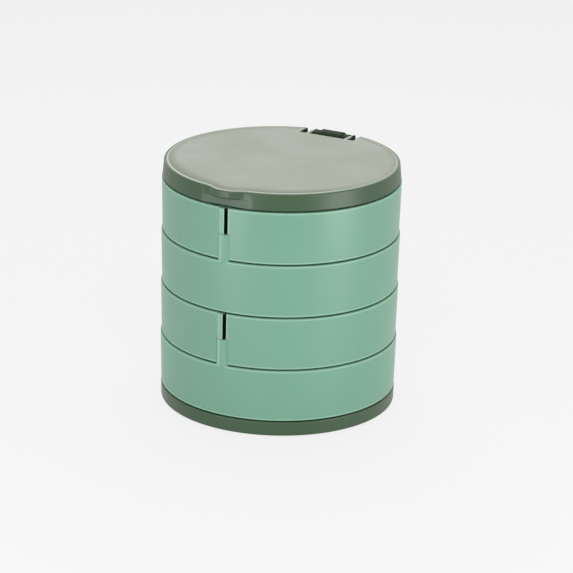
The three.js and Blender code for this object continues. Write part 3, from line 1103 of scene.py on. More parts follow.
def finish_piece(piece: Piece, finish: Finish, body: Body, *nodes: str) -> None:
    """Dresses a piece, ties it to its body and reports it.

    Args:
        piece: The finished mesh object.
        finish: The finish that covers it; the record's slot that it carries is not used here.
        body: The body that it rides on.
        *nodes: The solids that it stands for.
    """
    piece.data.materials.clear()
    piece.data.materials.append(finish.material())
    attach(piece, body.value)
    if nodes:
        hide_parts(*nodes)
    LOG.info("%s rides on %s with %d faces", piece.name, body.value, len(piece.data.polygons))


@dataclass(frozen=True)
class Stack:
    """Sizes of the stack that the frame gives, and those that its pieces share."""

    radius: float = field(default_factory=lambda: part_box("base_shell")[1].x)
    tray_height: float = field(default_factory=lambda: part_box("tray_1")[1].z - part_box("tray_1")[0].z)
    gap: float = field(default_factory=lambda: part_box("lid_shell")[0].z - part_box("tray_1")[1].z)
    lid_low: float = field(default_factory=lambda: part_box("lid_shell")[0].z)
    lid_top: float = field(default_factory=lambda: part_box("lid_top_panel")[1].z)
    hinge_axis: Point = field(default_factory=lambda: middle_of("hinge_pin")[1:])
    draft: float = mm(0.5)
    edge_round: float = mm(0.6)
    round_steps: int = 5
    wall: float = mm(2.0)
    floor: float = mm(1.8)
    foot_rise: float = mm(0.25)
    knuckle_radius: float = mm(3.2)
    knuckle_proud: float = mm(1.2)
    slit_offset: float = mm(1.0)
    slit_width: float = mm(1.3)

    @property
    def pivot_radius(self) -> float:
        """How far the upright pivots stand from the stack's axis."""
        return self.radius + self.knuckle_proud - self.knuckle_radius

    @property
    def pitch(self) -> float:
        """From one tray's underside to the next."""
        return self.tray_height + self.gap

    def slit(self, side: int, low: float, high: float) -> Piece:
        """The slit through a barrel, from its pin to the open air.

        Args:
            side: -1 for a barrel at the front, 1 for one at the back.
            low: The height of the slit's foot.
            high: The height of its top.

        Returns:
            The block to cut away.
        """
        near, far = sorted((-side * self.slit_offset, -side * (self.slit_offset + self.slit_width)))
        open_air = self.radius + self.knuckle_proud + Bench.OVER
        inner, outer = sorted((side * self.pivot_radius, side * open_air))
        return Bench.block("slit", (near, inner, low), (far, outer, high))


@dataclass
class CrossScrew:
    """A pan head screw with a cross recess and a turned thread, standing on its head."""

    head_radius: float
    head_height: float
    shank_radius: float
    length: float
    dome: float = mm(0.35)
    flat_share: float = 0.55
    tip_share: float = 0.3
    recess_share: float = 0.62
    recess_depth: float = mm(0.8)
    recess_width: float = mm(0.55)
    thread_depth: float = mm(0.2)
    thread_pitch: float = mm(0.9)
    edge_soft: float = mm(0.05)

    def build(self, name: str) -> Piece:
        """Makes the screw with its head on the ground.

        Args:
            name: The piece's name.

        Returns:
            The piece.
        """
        profile: list[Point] = [(self.head_radius * self.flat_share, 0)]
        profile += arc((self.head_radius - self.dome, self.dome), self.dome, -90, 0, 4)
        profile += [(self.head_radius, self.head_height), (self.shank_radius, self.head_height)]
        turns = int((self.length - self.head_height - self.shank_radius) / self.thread_pitch)
        for i in range(1, turns + 1):
            middle = self.head_height + i * self.thread_pitch
            profile.append((self.shank_radius, middle - self.thread_pitch / 4))
            profile.append((self.shank_radius - self.thread_depth, middle))
            profile.append((self.shank_radius, middle + self.thread_pitch / 4))
        profile.append((self.shank_radius * self.tip_share, self.length))
        screw = Bench.turned(name, profile, Bench.SMALL_SIDES)
        reach, half = self.head_radius * self.recess_share, self.recess_width / 2
        for x, y in ((reach, half), (half, reach)):
            bar = Bench.block("recess", (-x, -y, -self.recess_depth), (x, y, self.recess_depth))
            Bench.meet(screw, bar, Joining.CUT)
        Bench.soften(screw, self.edge_soft, 1)
        return screw


@dataclass
class Base:
    """The low dark base with its rubber feet and screws."""

    stack: Stack
    finishes: Finishes
    screw_count: int = 3
    foot_count: int = 4
    inset: float = mm(0.35)
    rim_chamfer: float = mm(0.3)
    fillet: float = mm(0.8)
    foot_border: float = mm(6)
    foot_slope: float = mm(0.4)
    edge_soft: float = mm(0.15)
    foot_radius: float = mm(5.0)
    foot_recess: float = mm(1.0)
    foot_clearance: float = mm(0.2)
    foot_roll: float = mm(0.45)
    foot_chamfer: float = mm(0.1)
    groove: float = mm(2.6)
    groove_width: float = mm(0.5)
    groove_depth: float = mm(0.2)
    boss_radius: float = mm(4.0)
    head_radius: float = mm(2.3)
    head_height: float = mm(1.4)
    shank_radius: float = mm(1.2)
    shank_hole: float = mm(1.5)
    sink: float = mm(1.9)
    clearance: float = mm(0.3)

    def build(self) -> None:
        """Makes the base and everything let into it."""
        self.shell()
        self.feet()
        self.screws()

    def shell(self) -> None:
        """The dish: a rounded rim, a flat floor, screw bosses and pockets for the feet."""
        stack, over = self.stack, Bench.OVER
        low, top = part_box("base_shell")[0].z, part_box("base_shell")[1].z
        outer, rounding = stack.radius - stack.draft, stack.edge_round
        inner, ground = stack.radius - stack.wall, low + stack.floor
        border = outer - self.foot_border
        profile = [
            (border - self.foot_slope, low + stack.foot_rise),
            (border, low),
            *arc((outer - rounding, low + rounding), rounding, -90, 0, stack.round_steps),
            *arc((stack.radius - self.inset - rounding, top - rounding), rounding, 0, 90, stack.round_steps),
            (inner + self.rim_chamfer, top),
            (inner, top - self.rim_chamfer),
            (inner, ground + self.fillet),
            (inner - self.fillet, ground),
        ]
        shell = Bench.turned("base_dish", profile)
        boss_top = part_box("tray_4")[0].z - self.clearance
        sunk = low + self.sink
        for i in range(self.screw_count):
            centre = middle_of(f"base_screw_{i + 1}")[:2]
            boss = Bench.post("boss", self.boss_radius, low + stack.floor / 2, boss_top, centre)
            Bench.meet(shell, boss, Joining.ADD)
            head = Bench.post("head_well", self.head_radius + self.clearance, low - over, sunk, centre)
            Bench.meet(shell, head, Joining.CUT)
            hole = Bench.post("shank_hole", self.shank_hole, sunk - over, boss_top + over, centre)
            Bench.meet(shell, hole, Joining.CUT)
        for i in range(self.foot_count):
            centre = middle_of(f"rubber_foot_{i + 1}")[:2]
            well_radius = self.foot_radius + self.foot_clearance
            well = Bench.post("foot_well", well_radius, low - over, low + self.foot_recess, centre)
            Bench.meet(shell, well, Joining.CUT)
        Bench.soften(shell, self.edge_soft)
        finish_piece(shell, self.finishes.sage, Body.BOTTOM, "base_shell")

    def spread(self, first: Piece, finish: Finish, node: str, count: int, height: float) -> None:
        """Puts copies of a piece where its nodes stand, and the piece itself where the last one does.

        Args:
            first: The piece, at the origin, its name ending in 1.
            finish: The finish that covers them all.
            node: The nodes' name without the number.
            count: How many nodes there are.
            height: How far up the pieces go.
        """
        stem = first.name[:-1]
        for number in range(1, count + 1):
            place = (*middle_of(f"{node}_{number}")[:2], height)
            if number < count:
                piece = Bench.copy(first, f"{stem}{number + 1}", place)
            else:
                piece = Bench.move(first, place)
            finish_piece(piece, finish, Body.BOTTOM, f"{node}_{number}")

    def feet(self) -> None:
        """Four rubber pads with a rolled edge and a ring pressed into the underside."""
        low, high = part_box("rubber_foot_1")[0].z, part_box("rubber_foot_1")[1].z
        profile = [
            (self.groove - self.groove_width, low),
            (self.groove - self.groove_width / 2, low + self.groove_depth),
            (self.groove, low),
            *arc((self.foot_radius - self.foot_roll, low + self.foot_roll), self.foot_roll, -90, 0, 5),
            (self.foot_radius, high - self.foot_chamfer),
            (self.foot_radius - self.foot_chamfer, high),
        ]
        first = Bench.turned("foot_pad_1", profile, Bench.SMALL_SIDES)
        Bench.smooth(first)
        self.spread(first, self.finishes.rubber, "rubber_foot", self.foot_count, 0.0)

    def screws(self) -> None:
        """Three pan head screws, heads down in their wells."""
        low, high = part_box("base_screw_1")[0].z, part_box("base_screw_1")[1].z
        screw = CrossScrew(self.head_radius, self.head_height, self.shank_radius, high - low)
        first = screw.build("base_screw_body_1")
        self.spread(first, self.finishes.bright_steel, "base_screw", self.screw_count, low)


class Along(Enum):
    """Which way a partition runs."""

    ACROSS = "x"
    FRONT_TO_BACK = "y"


@dataclass
class Tray:
    """One mint tray: a cup with partitions, a split barrel over a pocket and a post for the tray above."""

    stack: Stack
    finishes: Finishes
    number: int
    body: Body
    turn: int
    has_pocket: bool
    has_post: bool
    partitions: tuple[tuple[Along, float, float], ...]
    foot_border: float = mm(4.5)
    foot_slope: float = mm(0.3)
    fillet: float = mm(1.0)
    lip: float = mm(0.4)
    inside_rise: float = mm(0.3)
    inside_drop: float = mm(0.1)
    pin_radius: float = mm(1.3)
    press_clearance: float = mm(0.1)
    head_radius: float = mm(2.1)
    head_height: float = mm(0.9)
    head_sink: float = mm(0.4)
    root_depth: float = mm(11)
    root_rise: float = mm(0.5)
    run_clearance: float = mm(0.04)
    seat_clearance: float = mm(0.3)
    boss_rise: float = mm(0.1)
    below_rim: float = mm(0.2)
    pocket_wall: float = mm(1.6)
    root_wall: float = mm(1.0)
    post_round: float = mm(0.15)
    gap_over_post: float = mm(0.12)
    well_clearance: float = mm(0.1)
    partition_thickness: float = mm(1.6)
    partition_drop: float = mm(2)
    partition_round: float = 0.7
    edge_soft: float = mm(0.18)

    @property
    def node(self) -> str:
        """The node that this tray stands for."""
        return f"tray_{self.number}"

    @property
    def low(self) -> float:
        """The height of the tray's underside."""
        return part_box("tray_1")[0].z - (self.number - 1) * self.stack.pitch

    @property
    def top(self) -> float:
        """The height of the tray's rim."""
        return self.low + self.stack.tray_height

    @property
    def half_way(self) -> float:
        """The height at which the split barrel meets the post of the tray below."""
        return self.low + self.stack.tray_height / 2

    def spot(self, x: float, y: float) -> Point:
        """A place in the tray's own frame, turned half round where the tray is."""
        return self.turn * x, self.turn * y

    def span(self, a: float, b: float) -> tuple[float, float]:
        """A span of the tray's own frame, turned half round where the tray is, in rising order."""
        return (a, b) if self.turn > 0 else (-b, -a)

    def build(self) -> Piece:
        """Makes the tray and dresses it.

        Returns:
            The piece.
        """
        tray = self.cup()
        for along, start, end in self.partitions:
            Bench.meet(tray, self.partition(along, start, end), Joining.ADD)
        if self.has_post:
            self.add_post(tray)
        if self.has_pocket:
            self.add_pocket(tray)
        self.add_more(tray)
        Bench.soften(tray, self.edge_soft, 3)
        finish_piece(tray, self.finish(), self.body, self.node)
        return tray

    def finish(self) -> TrayFinish:
        """The mint finish, told where this tray's own rims and barrel are."""
        return replace(
            self.finishes.mint, name=f"mint_satin_plastic_{self.number}", low=self.low, top=self.top,
            radius=self.stack.radius, turn=self.turn if self.has_pocket else 0,
        )

    def add_more(self, tray: Piece) -> None:
        """Nothing more on a plain tray."""

    def cup(self) -> Piece:
        """The plain cup, its outer edges rounded and its floor filleted.

        Returns:
            The piece.
        """
        stack, low, top = self.stack, self.low, self.top
        outer_low, rounding = stack.radius - stack.draft, stack.edge_round
        inner, inner_low = stack.radius - stack.wall, stack.radius - stack.wall - stack.draft
        border = outer_low - self.foot_border
        ground = low + stack.floor
        profile = [
            (border - self.foot_slope, low + stack.foot_rise),
            (border, low),
            *arc((outer_low - rounding, low + rounding), rounding, -90, 0, stack.round_steps),
            *arc((stack.radius - rounding, top - rounding), rounding, 0, 90, stack.round_steps),
            *arc((inner + self.lip, top - self.lip), self.lip, 90, 180, 3),
            *arc((inner_low - self.fillet, ground + self.fillet), self.fillet, 0, -90, 4),
        ]
        return Bench.turned(self.node + "_moulding", profile)

    def partition(self, along: Along, start: float, end: float) -> Piece:
        """A wall from share to share of the inner radius, with a rounded top edge.

        Args:
            along: Which way it runs.
            start: Where it starts, as a share of the inner radius.
            end: Where it ends.

        Returns:
            The wall as a loose solid.
        """
        reach = self.stack.radius - self.stack.wall / 2
        half = self.partition_thickness / 2
        run = self.span(start * reach, end * reach)
        low, top = self.low + self.stack.floor / 2, self.top - self.partition_drop
        if along is Along.ACROSS:
            side = 1
            wall = Bench.block("partition", (run[0], -half, low), (run[1], half, top))
        else:
            side = 0
            wall = Bench.block("partition", (-half, run[0], low), (half, run[1], top))
        with Bench.editing():
            Bench.round_edges(
                lambda p: abs(p.z - top) < Bench.NEAR and abs(abs(p[side]) - half) < Bench.NEAR,
                half * self.partition_round, 4,
            )
        return wall

    def add_inside(self, tray: Piece, solid: Piece) -> None:
        """Joins the share of a solid that stands within the wall's middle, so that nothing shows outside.

        Args:
            tray: The tray that gets it.
            solid: The solid.
        """
        radius = self.stack.radius - self.stack.wall / 2
        low, high = self.low + self.inside_rise, self.top - self.inside_drop
        inside = Bench.post("inside", radius, low, high, sides=Bench.ROUND_SIDES)
        Bench.meet(tray, Bench.meet(solid, inside, Joining.KEEP_COMMON), Joining.ADD)

    def add_post(self, tray: Piece) -> None:
        """The post at the rim that carries the tray above, with the bore for its pin.

        Args:
            tray: The tray that gets it.
        """
        stack, top = self.stack, self.top
        centre = self.spot(0, stack.pivot_radius)
        root_radius = stack.knuckle_radius + self.root_wall
        root = Bench.post("root", root_radius, self.low + self.root_rise, top - self.below_rim, centre)
        self.add_inside(tray, root)
        post_top = top + stack.gap + stack.tray_height / 2 - self.gap_over_post
        post_low = top - stack.edge_round
        post = Bench.post("post", stack.knuckle_radius, post_low, post_top, centre, self.post_round)
        Bench.meet(tray, post, Joining.ADD)
        bore_low = top - self.root_depth - self.seat_clearance
        bore_radius = self.pin_radius + self.press_clearance
        bore = Bench.post("bore", bore_radius, bore_low, post_top + Bench.OVER, centre)
        Bench.meet(tray, bore, Joining.CUT)

    def add_pocket(self, tray: Piece) -> None:
        """The pocket round the lower tray's post, and the split barrel over it.

        Args:
            tray: The tray that gets them.
        """
        stack, top, over = self.stack, self.top, Bench.OVER
        centre = self.spot(0, -stack.pivot_radius)
        pocket_radius = stack.knuckle_radius + self.run_clearance
        boss_radius = pocket_radius + self.pocket_wall
        boss = Bench.post("boss", boss_radius, self.low + self.boss_rise, top - self.below_rim, centre)
        self.add_inside(tray, boss)
        below = self.half_way - over
        barrel = Bench.post("barrel", stack.knuckle_radius, below, top, centre, self.post_round)
        Bench.meet(tray, barrel, Joining.ADD)
        pocket = Bench.post("pocket", pocket_radius, self.low - over, self.half_way, centre)
        Bench.meet(tray, pocket, Joining.CUT)
        bore = Bench.post("bore", self.pin_radius + self.seat_clearance, below, top + over, centre)
        Bench.meet(tray, bore, Joining.CUT)
        seat = top - self.head_sink - self.head_height - self.seat_clearance
        well = Bench.post("well", self.head_radius + self.well_clearance, seat, top + over, centre)
        Bench.meet(tray, well, Joining.CUT)
        Bench.meet(tray, stack.slit(-self.turn, below, top + over), Joining.CUT)


@dataclass
class TopTray(Tray):
    """The top tray, whose back wall takes the lid's hinge bracket."""

    plate_inset: float = mm(0.2)
    plate_thickness: float = mm(2.6)
    plate_depth: float = mm(12)
    bracket_half: float = mm(9.5)
    pad_thickness: float = mm(1.8)
    pad_margin: float = mm(2.3)
    pad_rise: float = mm(0.5)
    hole_radius: float = mm(1.1)
    hole_reach: float = mm(4)

    def add_more(self, tray: Piece) -> None:
        """The thick pad at the back, with the pocket for the bracket's plate and its screw holes.

        Args:
            tray: The tray that gets it.
        """
        radius, top = self.stack.radius, self.top
        half = self.bracket_half + self.seat_clearance
        inner = radius - self.plate_inset - self.plate_thickness - self.seat_clearance
        pad = Bench.block(
            "pad", (-half - self.pad_margin, inner - self.pad_thickness, self.low + self.pad_rise),
            (half + self.pad_margin, radius, top - self.inside_drop),
        )
        self.add_inside(tray, pad)
        pocket_low = top - self.plate_depth - self.seat_clearance
        pocket = Bench.block(
            "plate_pocket", (-half, inner, pocket_low), (half, radius + Bench.OVER, top + Bench.OVER)
        )
        Bench.meet(tray, pocket, Joining.CUT)
        start = inner - self.hole_reach
        for number in (1, 2):
            x, _, z = middle_of(f"hinge_bracket_screw_{number}")
            middle = (x, (start + radius) / 2, z)
            hole = Bench.bar("screw_hole", self.hole_radius, radius - start, middle, across=False)
            Bench.meet(tray, hole, Joining.CUT)


@dataclass
class PivotPins:
    """The three headed pins that the trays swing on, and the caps over them."""

    stack: Stack
    finishes: Finishes
    bodies: tuple[Body, ...] = (Body.SECOND, Body.THIRD, Body.BOTTOM)
    cap_bodies: tuple[Body, ...] = (Body.TOP, Body.SECOND, Body.THIRD)
    shank: float = mm(1.3)
    head_height: float = mm(0.9)
    dome: float = mm(0.3)
    tip: float = mm(0.3)
    cap_radius: float = mm(2.16)
    cap_lift: float = mm(0.03)
    cap_height: float = mm(0.33)
    cap_edge: float = mm(0.08)

    def cap(self, number: int, centre: Point, low: float) -> None:
        """The thin moulded cap that closes the barrel over a pin's head.

        Args:
            number: The pin's number.
            centre: Where the pin stands.
            low: The height of the cap's underside.
        """
        radius, edge, high = self.cap_radius, self.cap_edge, low + self.cap_height
        profile = [(radius - edge, low), (radius, low + edge), (radius, high - edge), (radius - edge, high)]
        cap = Bench.turned(f"pin_cap_{number}", profile, Bench.SMALL_SIDES, centre)
        side = 1 if centre[1] > 0 else -1
        slit = self.stack.slit(side, low - self.cap_height, low + 2 * self.cap_height)
        Bench.meet(cap, slit, Joining.CUT)
        Bench.smooth(cap)
        plain = replace(self.finishes.mint, name="mint_satin_plastic_caps", low=-1.0, top=1.0, radius=1.0)
        finish_piece(cap, plain, self.cap_bodies[number - 1])

    def build(self) -> None:
        """Makes each pin where its node stands, and its cap over it."""
        for number, body in enumerate(self.bodies, 1):
            node = f"pivot_pin_{number}"
            low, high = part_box(node)
            head = (high.x - low.x) / 2
            profile = [
                (self.shank - self.tip, low.z),
                (self.shank, low.z + self.tip),
                (self.shank, high.z - self.head_height),
                (head, high.z - self.head_height),
                *arc((head - self.dome, high.z - self.dome), self.dome, 0, 90, 4),
            ]
            centre = middle_of(node)[:2]
            pin = Bench.turned(f"headed_pin_{number}", profile, Bench.SMALL_SIDES, centre)
            Bench.soften(pin, 0.0)
            finish_piece(pin, self.finishes.dark_steel, body, node)
            self.cap(number, centre, high.z + self.cap_lift)


@dataclass
class RingHolder:
    """The flocked insert for rings: soft rolls side by side."""

    finishes: Finishes
    rolls: int = 4
    roll_width: float = mm(7.5)
    slot_width: float = mm(5)
    plate: float = mm(2)
    edge: float = mm(0.7)

    def build(self) -> None:
        """Makes the insert in the back half of the top tray."""
        low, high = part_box("ring_holder")
        radius = self.roll_width / 2
        holder = Bench.block("ring_rolls", (low.x, low.y, low.z), (high.x, high.y, low.z + self.plate))
        for i in range(self.rolls):
            start = low.y + i * (self.roll_width + self.slot_width)
            stem = Bench.block(
                "stem", (low.x, start, low.z + self.plate / 2),
                (high.x, start + self.roll_width, high.z - radius),
            )
            Bench.meet(holder, stem, Joining.ADD)
            top = Bench.bar("roll", radius, 2 * high.x, (0, start + radius, high.z - radius))
            Bench.meet(holder, top, Joining.ADD)
        reach, over = max(high.x, -low.x), Bench.OVER
        drum = Bench.post("drum", reach, low.z - over, high.z + over, sides=Bench.ROUND_SIDES)
        Bench.meet(holder, drum, Joining.KEEP_COMMON)
        Bench.soften(holder, self.edge, 4)
        finish_piece(holder, self.finishes.flock, Body.TOP, "ring_holder")


@dataclass
class Hinge:
    """The lid's hinge: a bracket let into the back of the top tray, its screws and its pin."""

    stack: Stack
    finishes: Finishes
    half_width: float = mm(9.5)
    arm_thickness: float = mm(1.5)
    side_clearance: float = mm(0.2)
    barrel_radius: float = mm(4)
    barrel_half: float = mm(5.9)
    shoulder_radius: float = mm(3.3)
    plate_inset: float = mm(0.2)
    plate_thickness: float = mm(2.6)
    plate_depth: float = mm(12)
    drum_depth: float = mm(20)
    ledge_inset: float = mm(0.05)
    ledge_lift: float = mm(0.1)
    ledge_height: float = mm(2)
    ledge_reach: float = mm(2.7)
    stop_back: float = mm(0.3)
    rounding: float = mm(0.3)
    pin_radius: float = mm(1)
    pin_chamfer: float = mm(0.2)
    screw_head: float = mm(1.9)
    screw_head_height: float = mm(1.2)
    screw_shank: float = mm(0.9)
    screw_thread: float = mm(0.15)
    screw_pitch: float = mm(0.7)

    @property
    def arm_inner(self) -> float:
        """Where the lid's arms start, to each side."""
        return self.half_width + self.side_clearance

    @property
    def arm_outer(self) -> float:
        """How far the lid's arms reach to each side."""
        return self.arm_inner + self.arm_thickness

    def build(self) -> None:
        """Makes the bracket, the pin and the screws."""
        self.bracket()
        self.pin()
        self.screws()

    def rounded(self, piece: Piece) -> Piece:
        """A solid of the bracket with its edges rounded by themselves."""
        Bench.soften(piece, self.rounding, 3)
        return piece

    def bracket(self) -> None:
        """The plate, the ledge over the rim with its two stops, and the stepped barrel."""
        radius, over = self.stack.radius, Bench.OVER
        y, z = self.stack.hinge_axis
        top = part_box("tray_1")[1].z
        plate_inner = radius - self.plate_inset - self.plate_thickness
        plate_low = top - self.plate_depth
        plate = Bench.block(
            "hinge_block", (-self.half_width, plate_inner, plate_low), (self.half_width, radius, z)
        )
        skin = radius - self.plate_inset
        drum = Bench.post("drum", skin, top - self.drum_depth, z + over, sides=Bench.ROUND_SIDES)
        Bench.meet(plate, drum, Joining.KEEP_COMMON)
        Bench.flatten(plate)
        self.rounded(plate)
        front, low = y - self.ledge_reach, top + self.ledge_lift
        high = low + self.ledge_height
        half = self.half_width - self.ledge_inset
        ledge = Bench.block("ledge", (-half, front, low), (half, plate_inner + over, high))
        back = y - self.stop_back
        stops = Bench.block("stops", (-self.arm_outer, front, low), (self.arm_outer, back, high))
        Bench.meet(ledge, stops, Joining.ADD)
        Bench.flatten(ledge)
        Bench.meet(plate, self.rounded(ledge), Joining.ADD)
        shoulder_half = half + self.ledge_inset / 2
        for width, reach in ((self.shoulder_radius, shoulder_half), (self.barrel_radius, self.barrel_half)):
            barrel = Bench.bar("barrel", width, 2 * reach, (0, y, z))
            Bench.meet(plate, self.rounded(barrel), Joining.ADD)
        bore_half = self.half_width + over
        bore = Bench.bar("bore", self.pin_radius + self.side_clearance, 2 * bore_half, (0, y, z))
        Bench.meet(plate, bore, Joining.CUT)
        Bench.smooth(plate)
        # The bracket's finish is sage darkened as painted shade, with paler patches as painted highlights.
        finish_piece(plate, self.finishes.dark_sage, Body.TOP, "hinge_bracket")

    def pin(self) -> None:
        """The pin through the arms and the bracket, its ends chamfered."""
        low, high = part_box("hinge_pin")
        pin = Bench.bar("hinge_rod", (high.z - low.z) / 2, 2 * high.x, (0, *self.stack.hinge_axis))
        Bench.soften(pin, self.pin_chamfer)
        finish_piece(pin, self.finishes.bright_steel, Body.TOP, "hinge_pin")

    def screws(self) -> None:
        """The two screws that come through the back wall from inside."""
        for number in (1, 2):
            node = f"hinge_bracket_screw_{number}"
            low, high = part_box(node)
            x, _, z = middle_of(node)
            screw = CrossScrew(
                self.screw_head, self.screw_head_height, self.screw_shank, high.y - low.y,
                thread_depth=self.screw_thread, thread_pitch=self.screw_pitch,
            ).build(f"bracket_screw_body_{number}")
            Bench.move(screw, (x, low.y, z), -math.pi / 2)
            finish_piece(screw, self.finishes.bright_steel, Body.TOP, node)


@dataclass
class Lid:
    """The lid: a dark band with a finger lip, a light top panel, and a mirror in a ring underneath."""

    stack: Stack
    finishes: Finishes
    hinge: Hinge
    inset: float = mm(0.3)
    draft: float = mm(0.7)
    edge_round: float = mm(0.5)
    edge_soft: float = mm(0.2)
    rim_chamfer: float = mm(0.3)
    fillet: float = mm(0.8)
    plate: float = mm(2.6)
    wall: float = mm(2.6)
    panel_thickness: float = mm(0.6)
    panel_rim: float = mm(0.6)
    panel_gap: float = mm(0.04)
    panel_soft: float = mm(0.1)
    seat_gap: float = mm(0.03)
    edge_width: float = mm(0.5)
    bead_width: float = mm(0.85)
    sunk_depth: float = mm(0.06)
    painted_shade_width: float = mm(8.5)
    ear_short: float = mm(1.0)
    lip_inside: float = mm(0.1)
    lip_overlap: float = mm(0.5)
    lip_underside_round: float = mm(0.8)
    lip_proud: float = mm(2.6)
    lip_half: float = mm(10.8)
    lip_height: float = mm(4)
    lip_flat_share: float = 0.2
    scoop_half: float = mm(12.8)
    notch_depth: float = mm(11.5)
    notch_slot: float = mm(3.4)
    notch_wall: float = mm(1.6)
    notch_reach: float = mm(3)
    surround_inset: float = mm(0.1)
    surround_skin: float = mm(0.4)
    arm_radius: float = mm(2.55)
    bore_clearance: float = mm(0.1)
    horn_reach: float = mm(3.6)
    horn_overlap: float = mm(0.1)
    horn_draft: float = mm(0.5)
    mirror_grind: float = mm(0.4)
    ring_gap: float = mm(0.1)
    ring_seat: float = mm(0.3)
    ring_overlap: float = mm(1.2)
    ring_chamfer: float = mm(0.3)
    ring_foot: float = mm(0.2)
    ring_roll: float = mm(0.6)
    ring_soft: float = mm(0.08)
    outline_corners: int = 360
    corner_reach: float = mm(0.05)

    @property
    def low(self) -> float:
        """The height of the lid's underside."""
        return self.stack.lid_low

    @property
    def top(self) -> float:
        """The height of the lid's top."""
        return self.stack.lid_top

    @property
    def band_top(self) -> float:
        """The height at which the band ends and the panel starts."""
        return self.top - self.panel_thickness

    @property
    def band_radius(self) -> float:
        """The band's radius at its foot."""
        return self.stack.radius - self.inset

    @property
    def lip_root(self) -> float:
        """The radius that the finger lip grows out of, a little inside the band's top."""
        return self.band_radius - self.draft - self.lip_inside

    @property
    def lip_foot(self) -> float:
        """The height of the finger lip's underside."""
        return self.top - self.lip_height

    @property
    def notch_half(self) -> float:
        """Half the width of the notch at the back."""
        return self.hinge.arm_outer + self.notch_slot

    @property
    def notch_inner(self) -> float:
        """How far back the notch starts."""
        return self.stack.radius - self.notch_depth

    def build(self) -> None:
        """Makes the four pieces of the lid."""
        self.shell()
        self.panel()
        self.mirror()
        self.bezel()

    def lip_push(self, angle: float, radius: float) -> float:
        """How far the finger lip pushes the outline out at an angle from the front.

        Args:
            angle: The angle from the front, in radians.
            radius: The outline's radius without the lip.

        Returns:
            The push in metres.
        """
        along = abs(angle) * radius / self.lip_half
        if along >= 1:
            return 0.0
        fall = max(0.0, (along - self.lip_flat_share) / (1 - self.lip_flat_share))
        return self.lip_proud * (1 + math.cos(math.pi * fall)) / 2

    def lipped_disc(self, name: str, radius: float, low: float, high: float,
                    round_top: float = 0.0, round_low: float = 0.0) -> Piece:
        """A disc with the finger lip at its front.

        Args:
            name: The piece's name.
            radius: The radius away from the lip.
            low: The height of its underside.
            high: The height of its top.
            round_top: The rounding of its top edge.
            round_low: The rounding of its bottom edge.

        Returns:
            The piece.
        """
        Bench.clear()
        bpy.ops.mesh.primitive_circle_add(
            vertices=self.outline_corners, radius=radius, fill_type="NGON", location=(0, 0, low)
        )
        disc = Bench.settle(name)
        step = 2 * math.pi / self.outline_corners
        last = int(self.lip_half / radius / step) + 1
        with Bench.editing():
            for i in range(-last, last + 1):
                out = Vector((math.sin(i * step), -math.cos(i * step), 0))
                push = self.lip_push(i * step, radius)
                if push > 0:
                    corner = out * radius + Vector((0, 0, low))
                    Bench.pick(
                        Element.CORNER, lambda p, corner=corner: (p - corner).length < self.corner_reach
                    )
                    bpy.ops.transform.translate(value=out * push)
            bpy.ops.mesh.select_mode(type=Element.FACE.value)
            bpy.ops.mesh.select_all(action="SELECT")
            bpy.ops.mesh.extrude_region_move(TRANSFORM_OT_translate={"value": (0, 0, high - low)})
            Bench.face_outwards()
            for rounding, height in ((round_top, high), (round_low, low)):
                if rounding:
                    Bench.round_edges(lambda p, height=height: abs(p.z - height) < Bench.NEAR, rounding, 5)
        return disc

    def notch(self, low: float, high: float, margin: float = 0.0) -> Piece:
        """The notch at the back that clears the hinge, or with a margin what the panel leaves free.

        Args:
            low: The height it starts at.
            high: The height it ends at.
            margin: How far it is widened.

        Returns:
            The block to cut away.
        """
        far = self.stack.radius + self.notch_reach
        half = self.notch_half + margin
        return Bench.block("notch", (-half, self.notch_inner - margin, low), (half, far, high))

    def slab(self, name: str, inset: float, low: float, high: float) -> Piece:
        """A slab with the lid's outline, notch included, drawn in on all sides.

        Args:
            name: The piece's name.
            inset: How far the outline is drawn in.
            low: The height of its underside.
            high: The height of its top.

        Returns:
            The slab.
        """
        slab = self.lipped_disc(name, self.lip_root - inset, low, high)
        return Bench.meet(slab, self.notch(self.low, high + Bench.OVER, inset), Joining.CUT)

    def add_ears(self, slab: Piece, low: float, high: float, margin: float = 0.0) -> None:
        """Joins the two strips through which the panel's ears run over the rim and the arms.

        Args:
            slab: The slab that gets them.
            low: The height of their underside.
            high: The height of their top.
            margin: How far they are widened.
        """
        start = self.notch_inner - 2 * self.panel_rim
        end = self.stack.hinge_axis[0] - self.ear_short
        inner, outer = self.hinge.arm_inner, self.hinge.arm_outer
        for left, right in ((inner, outer), (-outer, -inner)):
            ear = Bench.block("ear", (left - margin, start, low), (right + margin, end, high))
            Bench.meet(slab, ear, Joining.ADD)

    def scoop(self) -> Piece:
        """The flat finger recess under the lip, which runs out into the round band at both ends.

        Returns:
            The block to cut away.
        """
        reach = math.sqrt(self.band_radius ** 2 - self.scoop_half ** 2)
        half, far = self.scoop_half + Bench.OVER, self.stack.radius + Bench.OVER
        return Bench.block("scoop", (-half, -far, self.low - Bench.OVER), (half, -reach, self.lip_foot))

